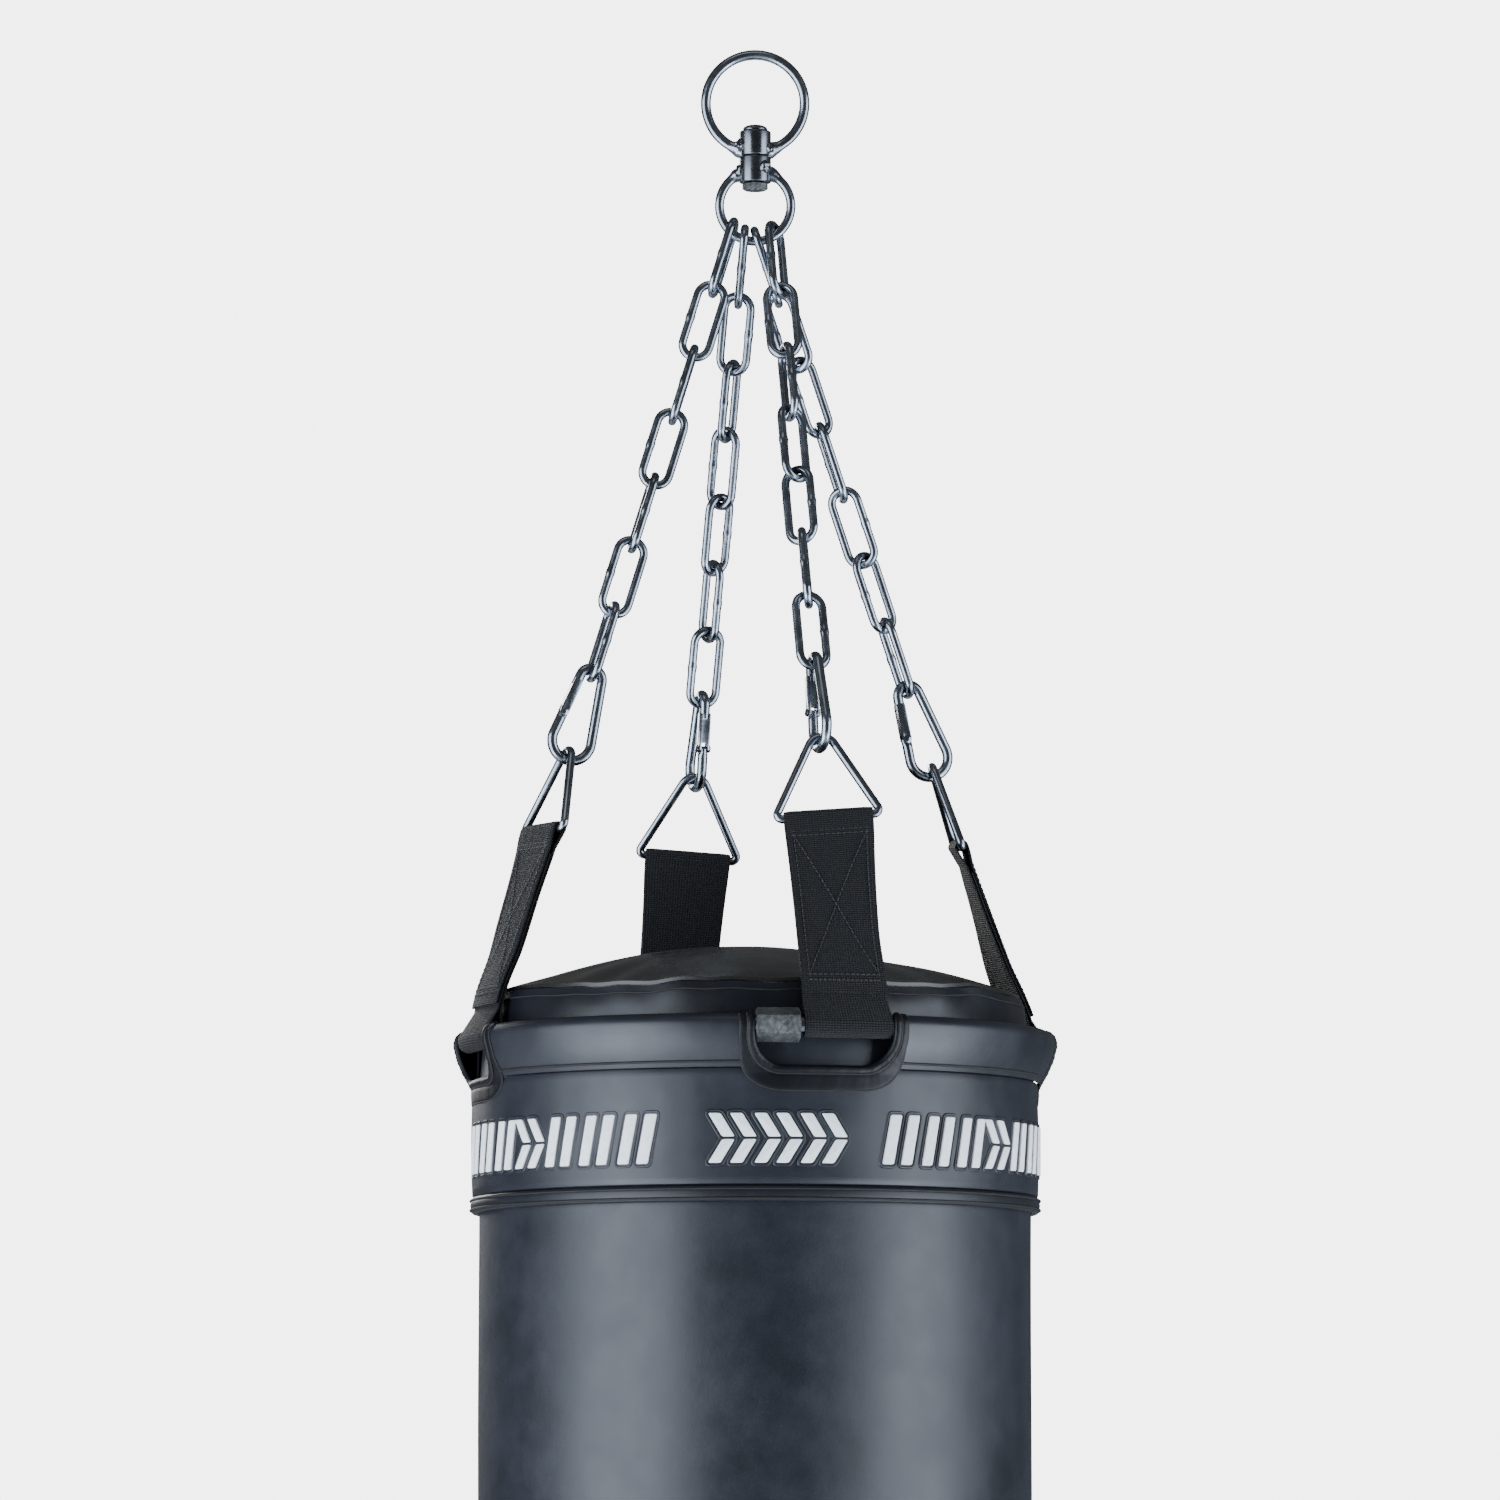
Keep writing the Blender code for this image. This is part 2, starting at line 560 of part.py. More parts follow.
def lid_rise(radius):
    """How far the lid stands above its seam at a radius."""
    return LID_HEIGHT * (1 - min(radius / COLLAR_RADIUS, 1.0) ** 2) ** LID_FALL


def make_bag():
    """Skin, band, seam tape, collar, lid, bottom panel and filling, all turned about Z."""
    wall = BAG_LEATHER
    skin = [
        (NECK_RADIUS, NECK_Z),
        (BAG_RADIUS, SLEEVE_FOOT_Z),
        (BAG_RADIUS, BOTTOM_Z + BOTTOM_ROUND),
        (BOTTOM_RADIUS, SKIN_FOOT),
    ]
    inner = [(radius - wall, height) for radius, height in reversed(skin)]
    turned("body_skin", skin + inner, LEATHER, BAG_SIDES)
    inside = BAG_RADIUS + GAP
    band = [(BAND_RADIUS, BAND_TOP), (BAND_RADIUS, BAND_FOOT), (inside, BAND_FOOT), (inside, BAND_TOP)]
    turned("upper_band", band, LEATHER, BAG_SIDES)
    tape_top = BAND_FOOT - GAP
    tape_foot = tape_top - TAPE_HEIGHT
    tape = [(TAPE_RADIUS, tape_top), (TAPE_RADIUS, tape_foot), (inside, tape_foot), (inside, tape_top)]
    turned("seam_tape", tape, SEAM_LEATHER, BAG_SIDES)
    collar = [(COLLAR_RADIUS, COLLAR_TOP), (NECK_RADIUS, COLLAR_FOOT)]
    collar += [(radius - wall, height) for radius, height in reversed(collar)]
    turned("top_collar", collar, LEATHER, BAG_SIDES)

    rings = [COLLAR_RADIUS * math.sin(math.radians(step * 15)) for step in range(7)]
    top = [(radius, LID_FOOT + wall + lid_rise(radius)) for radius in rings]
    under = [(radius, LID_FOOT + lid_rise(radius)) for radius in reversed(rings)]
    turned("top_lid", top + under, LEATHER, BAG_SIDES, closed=False)
    panel = [(0.0, BOTTOM_Z + wall), (BOTTOM_RADIUS, BOTTOM_Z + wall), (BOTTOM_RADIUS, BOTTOM_Z), (0.0, BOTTOM_Z)]
    turned("bottom_panel", panel, LEATHER, BAG_SIDES, closed=False)
    slack = wall + GAP
    crown = [(radius, LID_FOOT - 2 * GAP + lid_rise(radius)) for radius in rings[:-1]]
    sides = [(COLLAR_RADIUS, COLLAR_TOP)] + skin
    stuffing = crown + [(radius - slack, height) for radius, height in sides] + [(0.0, SKIN_FOOT)]
    turned("filling", stuffing, STUFFING, BAG_SIDES, closed=False)


for old in list(bpy.data.objects):
    bpy.data.objects.remove(old)
parts = bpy.data.collections.new("heavy_bag")
cutters = bpy.data.collections.new("cutters")
bpy.context.scene.collection.children.link(parts)
bpy.context.scene.collection.children.link(cutters)
make_rings()
make_swivel()
make_legs()
make_hoop()
make_sleeve()
make_bag()
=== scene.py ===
import math

import bmesh
import bpy
import numpy as np
from mathutils import Matrix, Vector, noise


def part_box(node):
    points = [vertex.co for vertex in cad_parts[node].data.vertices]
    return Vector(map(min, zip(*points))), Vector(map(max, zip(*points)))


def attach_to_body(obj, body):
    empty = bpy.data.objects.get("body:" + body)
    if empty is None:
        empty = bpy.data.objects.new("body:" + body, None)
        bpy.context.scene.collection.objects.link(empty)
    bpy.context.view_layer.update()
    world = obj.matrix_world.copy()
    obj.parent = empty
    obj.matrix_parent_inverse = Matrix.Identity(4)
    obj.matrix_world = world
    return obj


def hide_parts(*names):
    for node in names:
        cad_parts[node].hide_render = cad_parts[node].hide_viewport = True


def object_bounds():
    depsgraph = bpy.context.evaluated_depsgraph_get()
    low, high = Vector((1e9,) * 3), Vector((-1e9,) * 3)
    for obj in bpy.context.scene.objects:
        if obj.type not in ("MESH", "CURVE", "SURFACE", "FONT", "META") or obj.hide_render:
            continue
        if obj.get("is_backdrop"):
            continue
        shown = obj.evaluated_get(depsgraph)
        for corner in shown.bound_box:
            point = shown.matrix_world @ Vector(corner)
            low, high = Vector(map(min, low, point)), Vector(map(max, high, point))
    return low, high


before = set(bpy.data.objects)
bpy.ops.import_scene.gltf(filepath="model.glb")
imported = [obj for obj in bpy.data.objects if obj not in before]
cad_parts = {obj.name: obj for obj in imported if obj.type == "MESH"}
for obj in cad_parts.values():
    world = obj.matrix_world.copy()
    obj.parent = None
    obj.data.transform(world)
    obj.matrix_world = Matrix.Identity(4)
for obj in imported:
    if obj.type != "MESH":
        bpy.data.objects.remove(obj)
cadBox = [list(corner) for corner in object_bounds()]
legNames = ("front", "right", "back", "left")
print("frame loaded:", len(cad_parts), "nodes")


def polar(angle, radius, height=0.0):
    return Vector((radius * math.cos(angle), radius * math.sin(angle), height))


def smoothStep(low, high, value):
    share = min(max((value - low) / (high - low), 0.0), 1.0)
    return share * share * (3 - 2 * share)


def newPiece(name, verts, faces, material, uvs=None, smooth=True):
    mesh = bpy.data.meshes.new(name)
    mesh.from_pydata([tuple(v) for v in verts], [], faces)
    if uvs is not None:
        layer = mesh.uv_layers.new(name="UVMap")
        layer.data.foreach_set("uv", np.array([uvs[i] for face in faces for i in face], np.float32).ravel())
    mesh.materials.append(material)
    mesh.polygons.foreach_set("use_smooth", [smooth] * len(mesh.polygons))
    mesh.validate()
    piece = bpy.data.objects.new(name, mesh)
    bpy.context.scene.collection.objects.link(piece)
    return piece


# Normals outwards on a closed mesh, after its doubles are merged.
def outward(piece, merge=0.0):
    shape = bmesh.new()
    shape.from_mesh(piece.data)
    if merge:
        bmesh.ops.remove_doubles(shape, verts=shape.verts, dist=merge)
    bmesh.ops.recalc_face_normals(shape, faces=shape.faces)
    shape.to_mesh(piece.data)
    shape.free()
    return piece


# A curve or a modified object as a plain mesh at the origin; the source is removed.
def asMesh(source, name, material):
    bpy.context.view_layer.update()
    evaluated = source.evaluated_get(bpy.context.evaluated_depsgraph_get())
    mesh = bpy.data.meshes.new_from_object(evaluated)
    mesh.name = name
    mesh.transform(source.matrix_world)
    bpy.data.objects.remove(source)
    mesh.materials.clear()
    mesh.materials.append(material)
    piece = bpy.data.objects.new(name, mesh)
    bpy.context.scene.collection.objects.link(piece)
    return piece


def smoothShade(piece, angle=40):
    piece.data.shade_smooth()
    piece.data.set_sharp_from_angle(angle=math.radians(angle))
    return piece


def attach(piece, body):
    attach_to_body(piece, body)
    return piece


def placePiece(piece, body, nodes):
    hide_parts(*nodes)
    return attach(piece, body)


# Pieces made one, each keeping its own material unless one is given.
def joinPieces(name, pieces, material=None):
    shape = bmesh.new()
    materials = []
    for piece in pieces:
        own = material or piece.data.materials[0]
        if own not in materials:
            materials.append(own)
        before = len(shape.faces)
        shape.from_mesh(piece.data)
        shape.faces.ensure_lookup_table()
        for face in shape.faces[before:]:
            face.material_index = materials.index(own)
    mesh = bpy.data.meshes.new(name)
    shape.to_mesh(mesh)
    shape.free()
    for piece in pieces:
        bpy.data.objects.remove(piece)
    for own in materials:
        mesh.materials.append(own)
    joined = bpy.data.objects.new(name, mesh)
    bpy.context.scene.collection.objects.link(joined)
    return smoothShade(joined)


# Round wire along points; sides is the bevel's resolution.
def tube(name, points, radius, closed, material, sides=6, radii=None):
    curve = bpy.data.curves.new(name, "CURVE")
    curve.dimensions = "3D"
    curve.bevel_depth = radius
    curve.bevel_resolution = sides
    curve.use_fill_caps = True
    spline = curve.splines.new("POLY")
    spline.points.add(len(points) - 1)
    for index, point in enumerate(points):
        spline.points[index].co = (*point, 1.0)
        if radii:
            spline.points[index].radius = radii[index]
    spline.use_cyclic_u = closed
    source = bpy.data.objects.new(name, curve)
    bpy.context.scene.collection.objects.link(source)
    piece = asMesh(source, name, material)
    return smoothShade(outward(piece, 0.000002))


# A profile of (radius, height) turned about Z, with its UV in metres along and round the surface.
def lathe(name, profile, segments, material, warp=None, closed=True, sharp=50):
    verts, uvs, faces = [], [], []
    rows = len(profile)
    travel = [0.0]
    for first, second in zip(profile, profile[1:]):
        travel.append(travel[-1] + math.dist(first, second))
    girth = 2 * math.pi * max(radius for radius, height in profile)
    for step in range(segments):
        angle = 2 * math.pi * step / segments
        for row, (radius, height) in enumerate(profile):
            if warp and radius > 0.0005:
                radius, height = warp(angle, radius, height)
            verts.append(polar(angle, radius, height))
            uvs.append((girth * step / segments, travel[row]))
    last = rows if closed else rows - 1
    for step in range(segments):
        here, there = step * rows, (step + 1) % segments * rows
        for row in range(last):
            below = (row + 1) % rows
            faces.append((here + row, here + below, there + below, there + row))
    piece = newPiece(name, verts, faces, material, uvs)
    outward(piece, 0.000002)
    return smoothShade(piece, sharp)


def arcPoints(centre, radius, start, end, steps):
    points = []
    for step in range(steps + 1):
        angle = math.radians(start + (end - start) * step / steps)
        points.append((centre[0] + radius * math.cos(angle), centre[1] + radius * math.sin(angle)))
    return points


# A loop drawn tight around circles of (x, z, radius) in anticlockwise order.
def belt(circles, steps):
    tangents = []
    for first, second in zip(circles, circles[1:] + circles[:1]):
        run = Vector((second[0] - first[0], second[1] - first[1]))
        lean = math.asin((first[2] - second[2]) / run.length)
        tangents.append(math.atan2(run.y, run.x) - math.pi / 2 + lean)
    points = []
    for index, circle in enumerate(circles):
        start, end = tangents[index - 1], tangents[index]
        while end < start:
            end += 2 * math.pi
        points += arcPoints(circle[:2], circle[2], math.degrees(start), math.degrees(end), steps)
    return points


def nodePoints(name):
    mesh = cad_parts[name].data
    points = np.zeros(len(mesh.vertices) * 3)
    mesh.vertices.foreach_get("co", points)
    return points.reshape(-1, 3)


# The frame of a flat wire piece from its own points: Z along up, Y its normal, and its half sizes.
def wireFrame(name, up):
    points = nodePoints(name)
    middle = points.mean(0)
    vectors = np.linalg.eigh(np.cov((points - middle).T))[1]
    normal = Vector(vectors[:, 0])
    zAxis = (up - normal * up.dot(normal)).normalized()
    xAxis = normal.cross(zAxis)
    axes = np.array([xAxis, normal, zAxis])
    local = points @ axes.T
    low, high = local.min(0), local.max(0)
    centre = Vector(axes.T @ ((low + high) / 2))
    turn = Matrix((xAxis, normal, zAxis)).transposed().to_4x4()
    return Matrix.Translation(centre) @ turn, (high - low) / 2


# An empty geometry tree with a geometry in and out, and the named inputs.
def newTree(name, inputs):
    tree = bpy.data.node_groups.new(name, "GeometryNodeTree")
    tree.interface.new_socket("Geometry", in_out="INPUT", socket_type="NodeSocketGeometry")
    for label, (kind, value) in inputs.items():
        socket = tree.interface.new_socket(label, in_out="INPUT", socket_type="NodeSocket" + kind)
        if value is not None:
            socket.default_value = value
    tree.interface.new_socket("Geometry", in_out="OUTPUT", socket_type="NodeSocketGeometry")
    return tree


# A node with its settings; values fills sockets by number with a value or another node's output.
def addNode(tree, kind, values=None, **settings):
    node = tree.nodes.new(kind)
    for key, value in settings.items():
        setattr(node, key, value)
    for index, value in (values or {}).items():
        if isinstance(value, bpy.types.NodeSocket):
            tree.links.new(value, node.inputs[index])
        else:
            node.inputs[index].default_value = value
    return node


# Runs a geometry tree on source with its named inputs, as a plain mesh.
def grow(source, name, tree, material, **values):
    modifier = source.modifiers.new(tree.name, "NODES")
    modifier.node_group = tree
    for socket in tree.interface.items_tree:
        if socket.in_out == "INPUT" and socket.name in values:
            modifier[socket.identifier] = values[socket.name]
        if socket.in_out == "INPUT" and socket.name == "Material":
            modifier[socket.identifier] = material
    return asMesh(source, name, material)


def treeMath(tree, operation, first, second=0.0, third=None):
    values = {0: first, 1: second}
    if third is not None:
        values[2] = third
    return addNode(tree, "ShaderNodeMath", values, operation=operation).outputs[0]


# A round wire swept along a curve, its thickness from a socket; sides is the section's count.
def sweepWire(tree, curve, thickness, sides, capped):
    thick = addNode(tree, "GeometryNodeSetCurveRadius")
    tree.links.new(curve, thick.inputs["Curve"])
    tree.links.new(treeMath(tree, "MULTIPLY", thickness, 0.5), thick.inputs["Radius"])
    ring = addNode(tree, "GeometryNodeCurvePrimitiveCircle")
    ring.inputs["Resolution"].default_value = sides
    ring.inputs["Radius"].default_value = 1.0
    swept = addNode(tree, "GeometryNodeCurveToMesh")
    swept.inputs["Fill Caps"].default_value = capped
    tree.links.new(thick.outputs[0], swept.inputs["Curve"])
    tree.links.new(ring.outputs[0], swept.inputs["Profile Curve"])
    if "Scale" in swept.inputs:
        taken = addNode(tree, "GeometryNodeInputRadius")
        tree.links.new(taken.outputs[0], swept.inputs["Scale"])
    return swept


def resampled(tree, curve, count):
    dense = addNode(tree, "GeometryNodeResampleCurve", mode="COUNT")
    dense.inputs["Count"].default_value = count
    tree.links.new(curve, dense.inputs["Curve"])
    return dense.outputs[0]


# Copies on points, made real and given the tree's material.
def finishTree(tree, given, points, copy, rotation):
    copies = addNode(tree, "GeometryNodeInstanceOnPoints")
    tree.links.new(points, copies.inputs["Points"])
    tree.links.new(copy, copies.inputs["Instance"])
    tree.links.new(rotation, copies.inputs["Rotation"])
    real = addNode(tree, "GeometryNodeRealizeInstances", {0: copies.outputs[0]})
    dress = addNode(tree, "GeometryNodeSetMaterial", {0: real.outputs[0]})
    tree.links.new(given.outputs["Material"], dress.inputs["Material"])
    done = addNode(tree, "NodeGroupOutput")
    tree.links.new(dress.outputs[0], done.inputs[0])
    return tree


# A long chain link on every point, turned by its turn attribute, with a weld bead on one side.
def makeLinkTree():
    tree = newTree("chainLinks", {
        "Length": ("Float", 0.0505), "Width": ("Float", 0.021), "Wire": ("Float", 0.005),
        "Weld": ("Float", 0.10), "Material": ("Material", None)})
    given = addNode(tree, "NodeGroupInput")
    wire = given.outputs["Wire"]
    long = treeMath(tree, "SUBTRACT", given.outputs["Length"], wire)
    wide = treeMath(tree, "SUBTRACT", given.outputs["Width"], wire)
    box = addNode(tree, "GeometryNodeCurvePrimitiveQuadrilateral", {0: wide, 1: long})
    fillet = addNode(tree, "GeometryNodeFilletCurve")
    fillet.mode = "POLY"
    fillet.inputs["Count"].default_value = 10
    fillet.inputs["Limit Radius"].default_value = True
    tree.links.new(box.outputs[0], fillet.inputs["Curve"])
    tree.links.new(treeMath(tree, "MULTIPLY", wide, 0.499), fillet.inputs["Radius"])
    dense = resampled(tree, fillet.outputs[0], 72)
    place = addNode(tree, "GeometryNodeInputPosition")
    parts = addNode(tree, "ShaderNodeSeparateXYZ", {0: place.outputs[0]})
    away = treeMath(tree, "ABSOLUTE", parts.outputs[1])
    bead = addNode(tree, "ShaderNodeMapRange", {0: away, 1: 0.0006, 2: 0.0030, 3: 1.0, 4: 0.0},
                   interpolation_type="SMOOTHSTEP")
    side = treeMath(tree, "GREATER_THAN", parts.outputs[0], 0.0)
    swell = treeMath(tree, "MULTIPLY", bead.outputs[0], side)
    scaled = treeMath(tree, "MULTIPLY_ADD", swell, given.outputs["Weld"], 1.0)
    swept = sweepWire(tree, dense, treeMath(tree, "MULTIPLY", scaled, wire), 16, False)
    smoothed = addNode(tree, "GeometryNodeSetShadeSmooth", {0: swept.outputs[0]})
    stood = addNode(tree, "GeometryNodeTransform")
    stood.inputs["Rotation"].default_value = (math.pi / 2, 0, 0)
    tree.links.new(smoothed.outputs[0], stood.inputs["Geometry"])
    turn = addNode(tree, "GeometryNodeInputNamedAttribute", data_type="FLOAT_VECTOR")
    turn.inputs["Name"].default_value = "turn"
    return finishTree(tree, given, given.outputs["Geometry"], stood.outputs[0], turn.outputs["Attribute"])


# A stitch with sunken ends at every pitch along the source's edges.
def makeStitchTree():
    tree = newTree("stitches", {
        "Pitch": ("Float", 0.0035), "Length": ("Float", 0.0026), "Thickness": ("Float", 0.0007),
        "Slant": ("Float", 0.0), "Material": ("Material", None)})
    given = addNode(tree, "NodeGroupInput")
    path = addNode(tree, "GeometryNodeMeshToCurve", {0: given.outputs["Geometry"]})
    spaced = addNode(tree, "GeometryNodeResampleCurve", mode="LENGTH")
    tree.links.new(path.outputs[0], spaced.inputs["Curve"])
    tree.links.new(given.outputs["Pitch"], spaced.inputs["Length"])
    points = addNode(tree, "GeometryNodeCurveToPoints", mode="EVALUATED")
    tree.links.new(spaced.outputs[0], points.inputs["Curve"])
    half = treeMath(tree, "MULTIPLY", given.outputs["Length"], 0.5)
    start = addNode(tree, "ShaderNodeCombineXYZ", {2: treeMath(tree, "MULTIPLY", half, -1.0)})
    end = addNode(tree, "ShaderNodeCombineXYZ", {2: half})
    line = addNode(tree, "GeometryNodeCurvePrimitiveLine")
    tree.links.new(start.outputs[0], line.inputs["Start"])
    tree.links.new(end.outputs[0], line.inputs["End"])
    dense = resampled(tree, line.outputs[0], 5)
    factor = addNode(tree, "GeometryNodeSplineParameter")
    sine = treeMath(tree, "SINE", treeMath(tree, "MULTIPLY", factor.outputs["Factor"], math.pi))
    fat = treeMath(tree, "MULTIPLY_ADD", sine, 0.6, 0.4)
    swept = sweepWire(tree, dense, treeMath(tree, "MULTIPLY", fat, given.outputs["Thickness"]), 6, True)
    tilt = addNode(tree, "ShaderNodeCombineXYZ", {0: 0.0, 1: given.outputs["Slant"], 2: 0.0})
    turned = addNode(tree, "FunctionNodeRotateEuler", rotation_type="EULER", space="LOCAL")
    tree.links.new(points.outputs["Rotation"], turned.inputs[0])
    tree.links.new(tilt.outputs[0], turned.inputs[1])
    return finishTree(tree, given, points.outputs[0], swept.outputs[0], turned.outputs[0])


linkTree = makeLinkTree()
stitchTree = makeStitchTree()


# Stitches along one or more paths, as one mesh, over near-black tubes of painted shade for the groove that
# they press into the leather.
def sew(name, paths, material, closed=False, pitch=0.0035, length=0.0027, thickness=0.0007,
        slant=0.0, grooveShade=True):
    verts, edges = [], []
    for path in paths:
        base = len(verts)
        verts += [tuple(point) for point in path]
        edges += [(base + step, base + step + 1) for step in range(len(path) - 1)]
        if closed:
            edges.append((len(verts) - 1, base))
    mesh = bpy.data.meshes.new(name)
    mesh.from_pydata(verts, edges, [])
    source = bpy.data.objects.new(name, mesh)
    bpy.context.scene.collection.objects.link(source)
    stitches = smoothShade(grow(source, name, stitchTree, material,
                                Pitch=pitch, Length=length, Thickness=thickness, Slant=slant))
    if not grooveShade:
        return stitches
    # thin near-black tubes along each path: painted shade of the stitch groove
    grooveShadeTubes = [tube(f"{name}Line{index}", path, thickness * 0.62, closed, seamShadow, 3)
             for index, path in enumerate(paths)]
    return joinPieces(name, [stitches] + grooveShadeTubes)


# A Principled material that is wired up step by step.
class Surface:
    def __init__(self, name, **constants):
        self.material = bpy.data.materials.new(name)
        self.material.use_nodes = True
        self.tree = self.material.node_tree
        self.shader = self.tree.nodes["Principled BSDF"]
        for label, value in constants.items():
            self.shader.inputs[label.replace("_", " ")].default_value = value
        self.place = self.node("ShaderNodeTexCoord")

    def node(self, kind, values=None, **settings):
        return addNode(self.tree, kind, values, **settings)

    def noise(self, scale, detail=3.0, rough=0.5):
        made = self.node("ShaderNodeTexNoise", {0: self.place.outputs["Object"]})
        made.inputs["Scale"].default_value = scale
        made.inputs["Detail"].default_value = detail
        made.inputs["Roughness"].default_value = rough
        return made.outputs["Fac"] if "Fac" in made.outputs else made.outputs[0]

    def cells(self, scale):
        made = self.node("ShaderNodeTexVoronoi", {0: self.place.outputs["Object"]}, feature="F1")
        made.inputs["Scale"].default_value = scale
        return made.outputs["Distance"]

    def spread(self, value, low, high, start=0.3, stop=0.7):
        return self.node("ShaderNodeMapRange", {0: value, 1: start, 2: stop, 3: low, 4: high}).outputs[0]

    def maths(self, operation, first, second=0.0, third=None):
        return treeMath(self.tree, operation, first, second, third)

    def tint(self, factor, stops):
        ramp = self.node("ShaderNodeValToRGB", {0: factor})
        for element, (position, colour) in zip(ramp.color_ramp.elements, (stops[0], stops[-1])):
            element.position = position
            element.color = (*colour, 1.0)
        for position, colour in stops[1:-1]:
            ramp.color_ramp.elements.new(position).color = (*colour, 1.0)
        self.tree.links.new(ramp.outputs[0], self.shader.inputs["Base Color"])

    def rough(self, value):
        self.tree.links.new(value, self.shader.inputs["Roughness"])

    # Bump layers of (height, strength, distance), coarse first.
    def bump(self, heights):
        normal = None
        for height, strength, distance in heights:
            layer = self.node("ShaderNodeBump")
            layer.inputs["Strength"].default_value = strength
            layer.inputs["Distance"].default_value = distance
            self.tree.links.new(height, layer.inputs["Height"])
            if normal:
                self.tree.links.new(normal, layer.inputs["Normal"])
            normal = layer.outputs[0]
        self.tree.links.new(normal, self.shader.inputs["Normal"])


# Bright zinc plate: faint blue, with soft scuffs and tiny pits.
def zincSteel(name, base=(0.27, 0.30, 0.345), rough=(0.14, 0.30)):
    look = Surface(name, Metallic=1.0)
    cloud = look.noise(140.0, 4.0, 0.6)
    stain = look.noise(38.0, 3.0, 0.5)
    dark = tuple(channel * 0.62 for channel in base)
    look.tint(stain, [(0.30, dark), (0.55, base), (0.80, tuple(min(c * 1.12, 1.0) for c in base))])
    look.rough(look.spread(cloud, rough[0], rough[1]))
    look.bump([(stain, 0.05, 0.0004), (cloud, 0.04, 0.0002), (look.noise(1500.0, 2.0), 0.02, 0.0001)])
    return look.material


# Grey zinc on a machined nut, with dull spots.
def dullNut(name):
    look = Surface(name, Metallic=1.0)
    spots = look.noise(420.0, 5.0, 0.65)
    stain = look.noise(90.0, 3.0)
    look.tint(stain, [(0.3, (0.16, 0.17, 0.17)), (0.55, (0.27, 0.285, 0.285)), (0.8, (0.38, 0.40, 0.39))])
    look.rough(look.spread(spots, 0.30, 0.55))
    look.bump([(spots, 0.25, 0.0003), (look.noise(2600.0, 2.0), 0.10, 0.0001)])
    return look.material


# Coated leather: fine pebbled grain, slow gloss changes and faint cloudy wear, whose tint is darker in the
# dips of its own bump as painted crease shade.
def softLeather(name, creaseShade, light, rough, gloss=0.55):
    look = Surface(name, IOR=1.5, Specular_IOR_Level=gloss)
    cloud, patch = look.noise(9.0, 4.0, 0.6), look.noise(46.0, 4.0, 0.55)
    # the tint follows the noise that also raises the bump: darker in its dips as painted shade, over a random
    # tone
    look.tint(look.maths("MULTIPLY_ADD", patch, 0.35, look.maths("MULTIPLY", cloud, 0.65)),
              [(0.36, creaseShade), (0.64, light)])
    look.rough(look.spread(look.maths("MULTIPLY_ADD", patch, 0.5, look.maths("MULTIPLY", cloud, 0.5)),
                           rough[0], rough[1], 0.35, 0.65))
    pebble, pore = look.cells(1500.0), look.noise(2550.0, 2.0, 0.6)
    look.bump([(cloud, 0.12, 0.004), (patch, 0.10, 0.0012), (pebble, 0.16, 0.00016), (pore, 0.10, 0.00010)])
    return look.material


# Black polyester webbing: crosswise ribs and lengthwise warp threads, on the strap's UV in metres; its colour
# is darker in the weave's grooves as painted shade.
def ribbedWebbing(name):
    look = Surface(name, Specular_IOR_Level=0.22, Sheen_Weight=0.03, Sheen_Roughness=0.5)
    ribPitch, warpPitch = 0.00125, 0.00165
    parts = look.node("ShaderNodeSeparateXYZ", {0: look.place.outputs["UV"]})
    wander = look.noise(60.0, 2.0)
    ribs = look.maths("SINE", look.maths("MULTIPLY_ADD", parts.outputs[1], 2 * math.pi / ribPitch,
                                         look.maths("MULTIPLY", wander, 1.6)))
    warp = look.maths("SINE", look.maths("MULTIPLY", parts.outputs[0], 2 * math.pi / warpPitch))
    weave = look.maths("MULTIPLY_ADD", warp, 0.5, ribs)
    fuzz = look.noise(2400.0, 3.0, 0.6)
    # colour from the weave's heights: painted shade in its grooves and lighter on the ribs, plus random fuzz
    shade = look.maths("MULTIPLY_ADD", fuzz, 0.35, look.spread(weave, 0.1, 0.7, -1.4, 1.4))
    look.tint(shade, [(0.22, (0.0012, 0.0012, 0.0014)), (0.55, (0.0050, 0.0052, 0.0058)),
                      (0.92, (0.021, 0.022, 0.025))])
    look.rough(look.spread(fuzz, 0.55, 0.85))
    look.bump([(weave, 0.85, 0.00035), (fuzz, 0.4, 0.00015)])
    return look.material


def twistedThread(name, dark, light):
    look = Surface(name, Sheen_Weight=0.2)
    fibre = look.noise(3200.0, 2.0)
    look.tint(fibre, [(0.3, dark), (0.7, light)])
    look.rough(look.spread(fibre, 0.5, 0.75))
    look.bump([(fibre, 0.3, 0.0001)])
    return look.material


# Raised soft white print, a little dusty in its pores.
def whiteRubber(name):
    look = Surface(name, Specular_IOR_Level=0.4)
    dust = look.noise(300.0, 4.0, 0.6)
    look.tint(dust, [(0.3, (0.80, 0.81, 0.83)), (0.6, (0.93, 0.94, 0.95))])
    look.rough(look.spread(dust, 0.42, 0.6))
    look.bump([(look.cells(1500.0), 0.08, 0.00012)])
    return look.material


def studioFloor(name):
    look = Surface(name)
    look.tint(look.noise(2.0, 2.0), [(0.2, (0.80, 0.80, 0.80)), (0.8, (0.84, 0.84, 0.84))])
    look.rough(look.spread(look.noise(40.0), 0.55, 0.65))
    return look.material


steel = zincSteel("zincSteel")
swivelSteel = zincSteel("swivelSteel", (0.17, 0.18, 0.20), (0.16, 0.34))
nutSteel = dullNut("nutSteel")
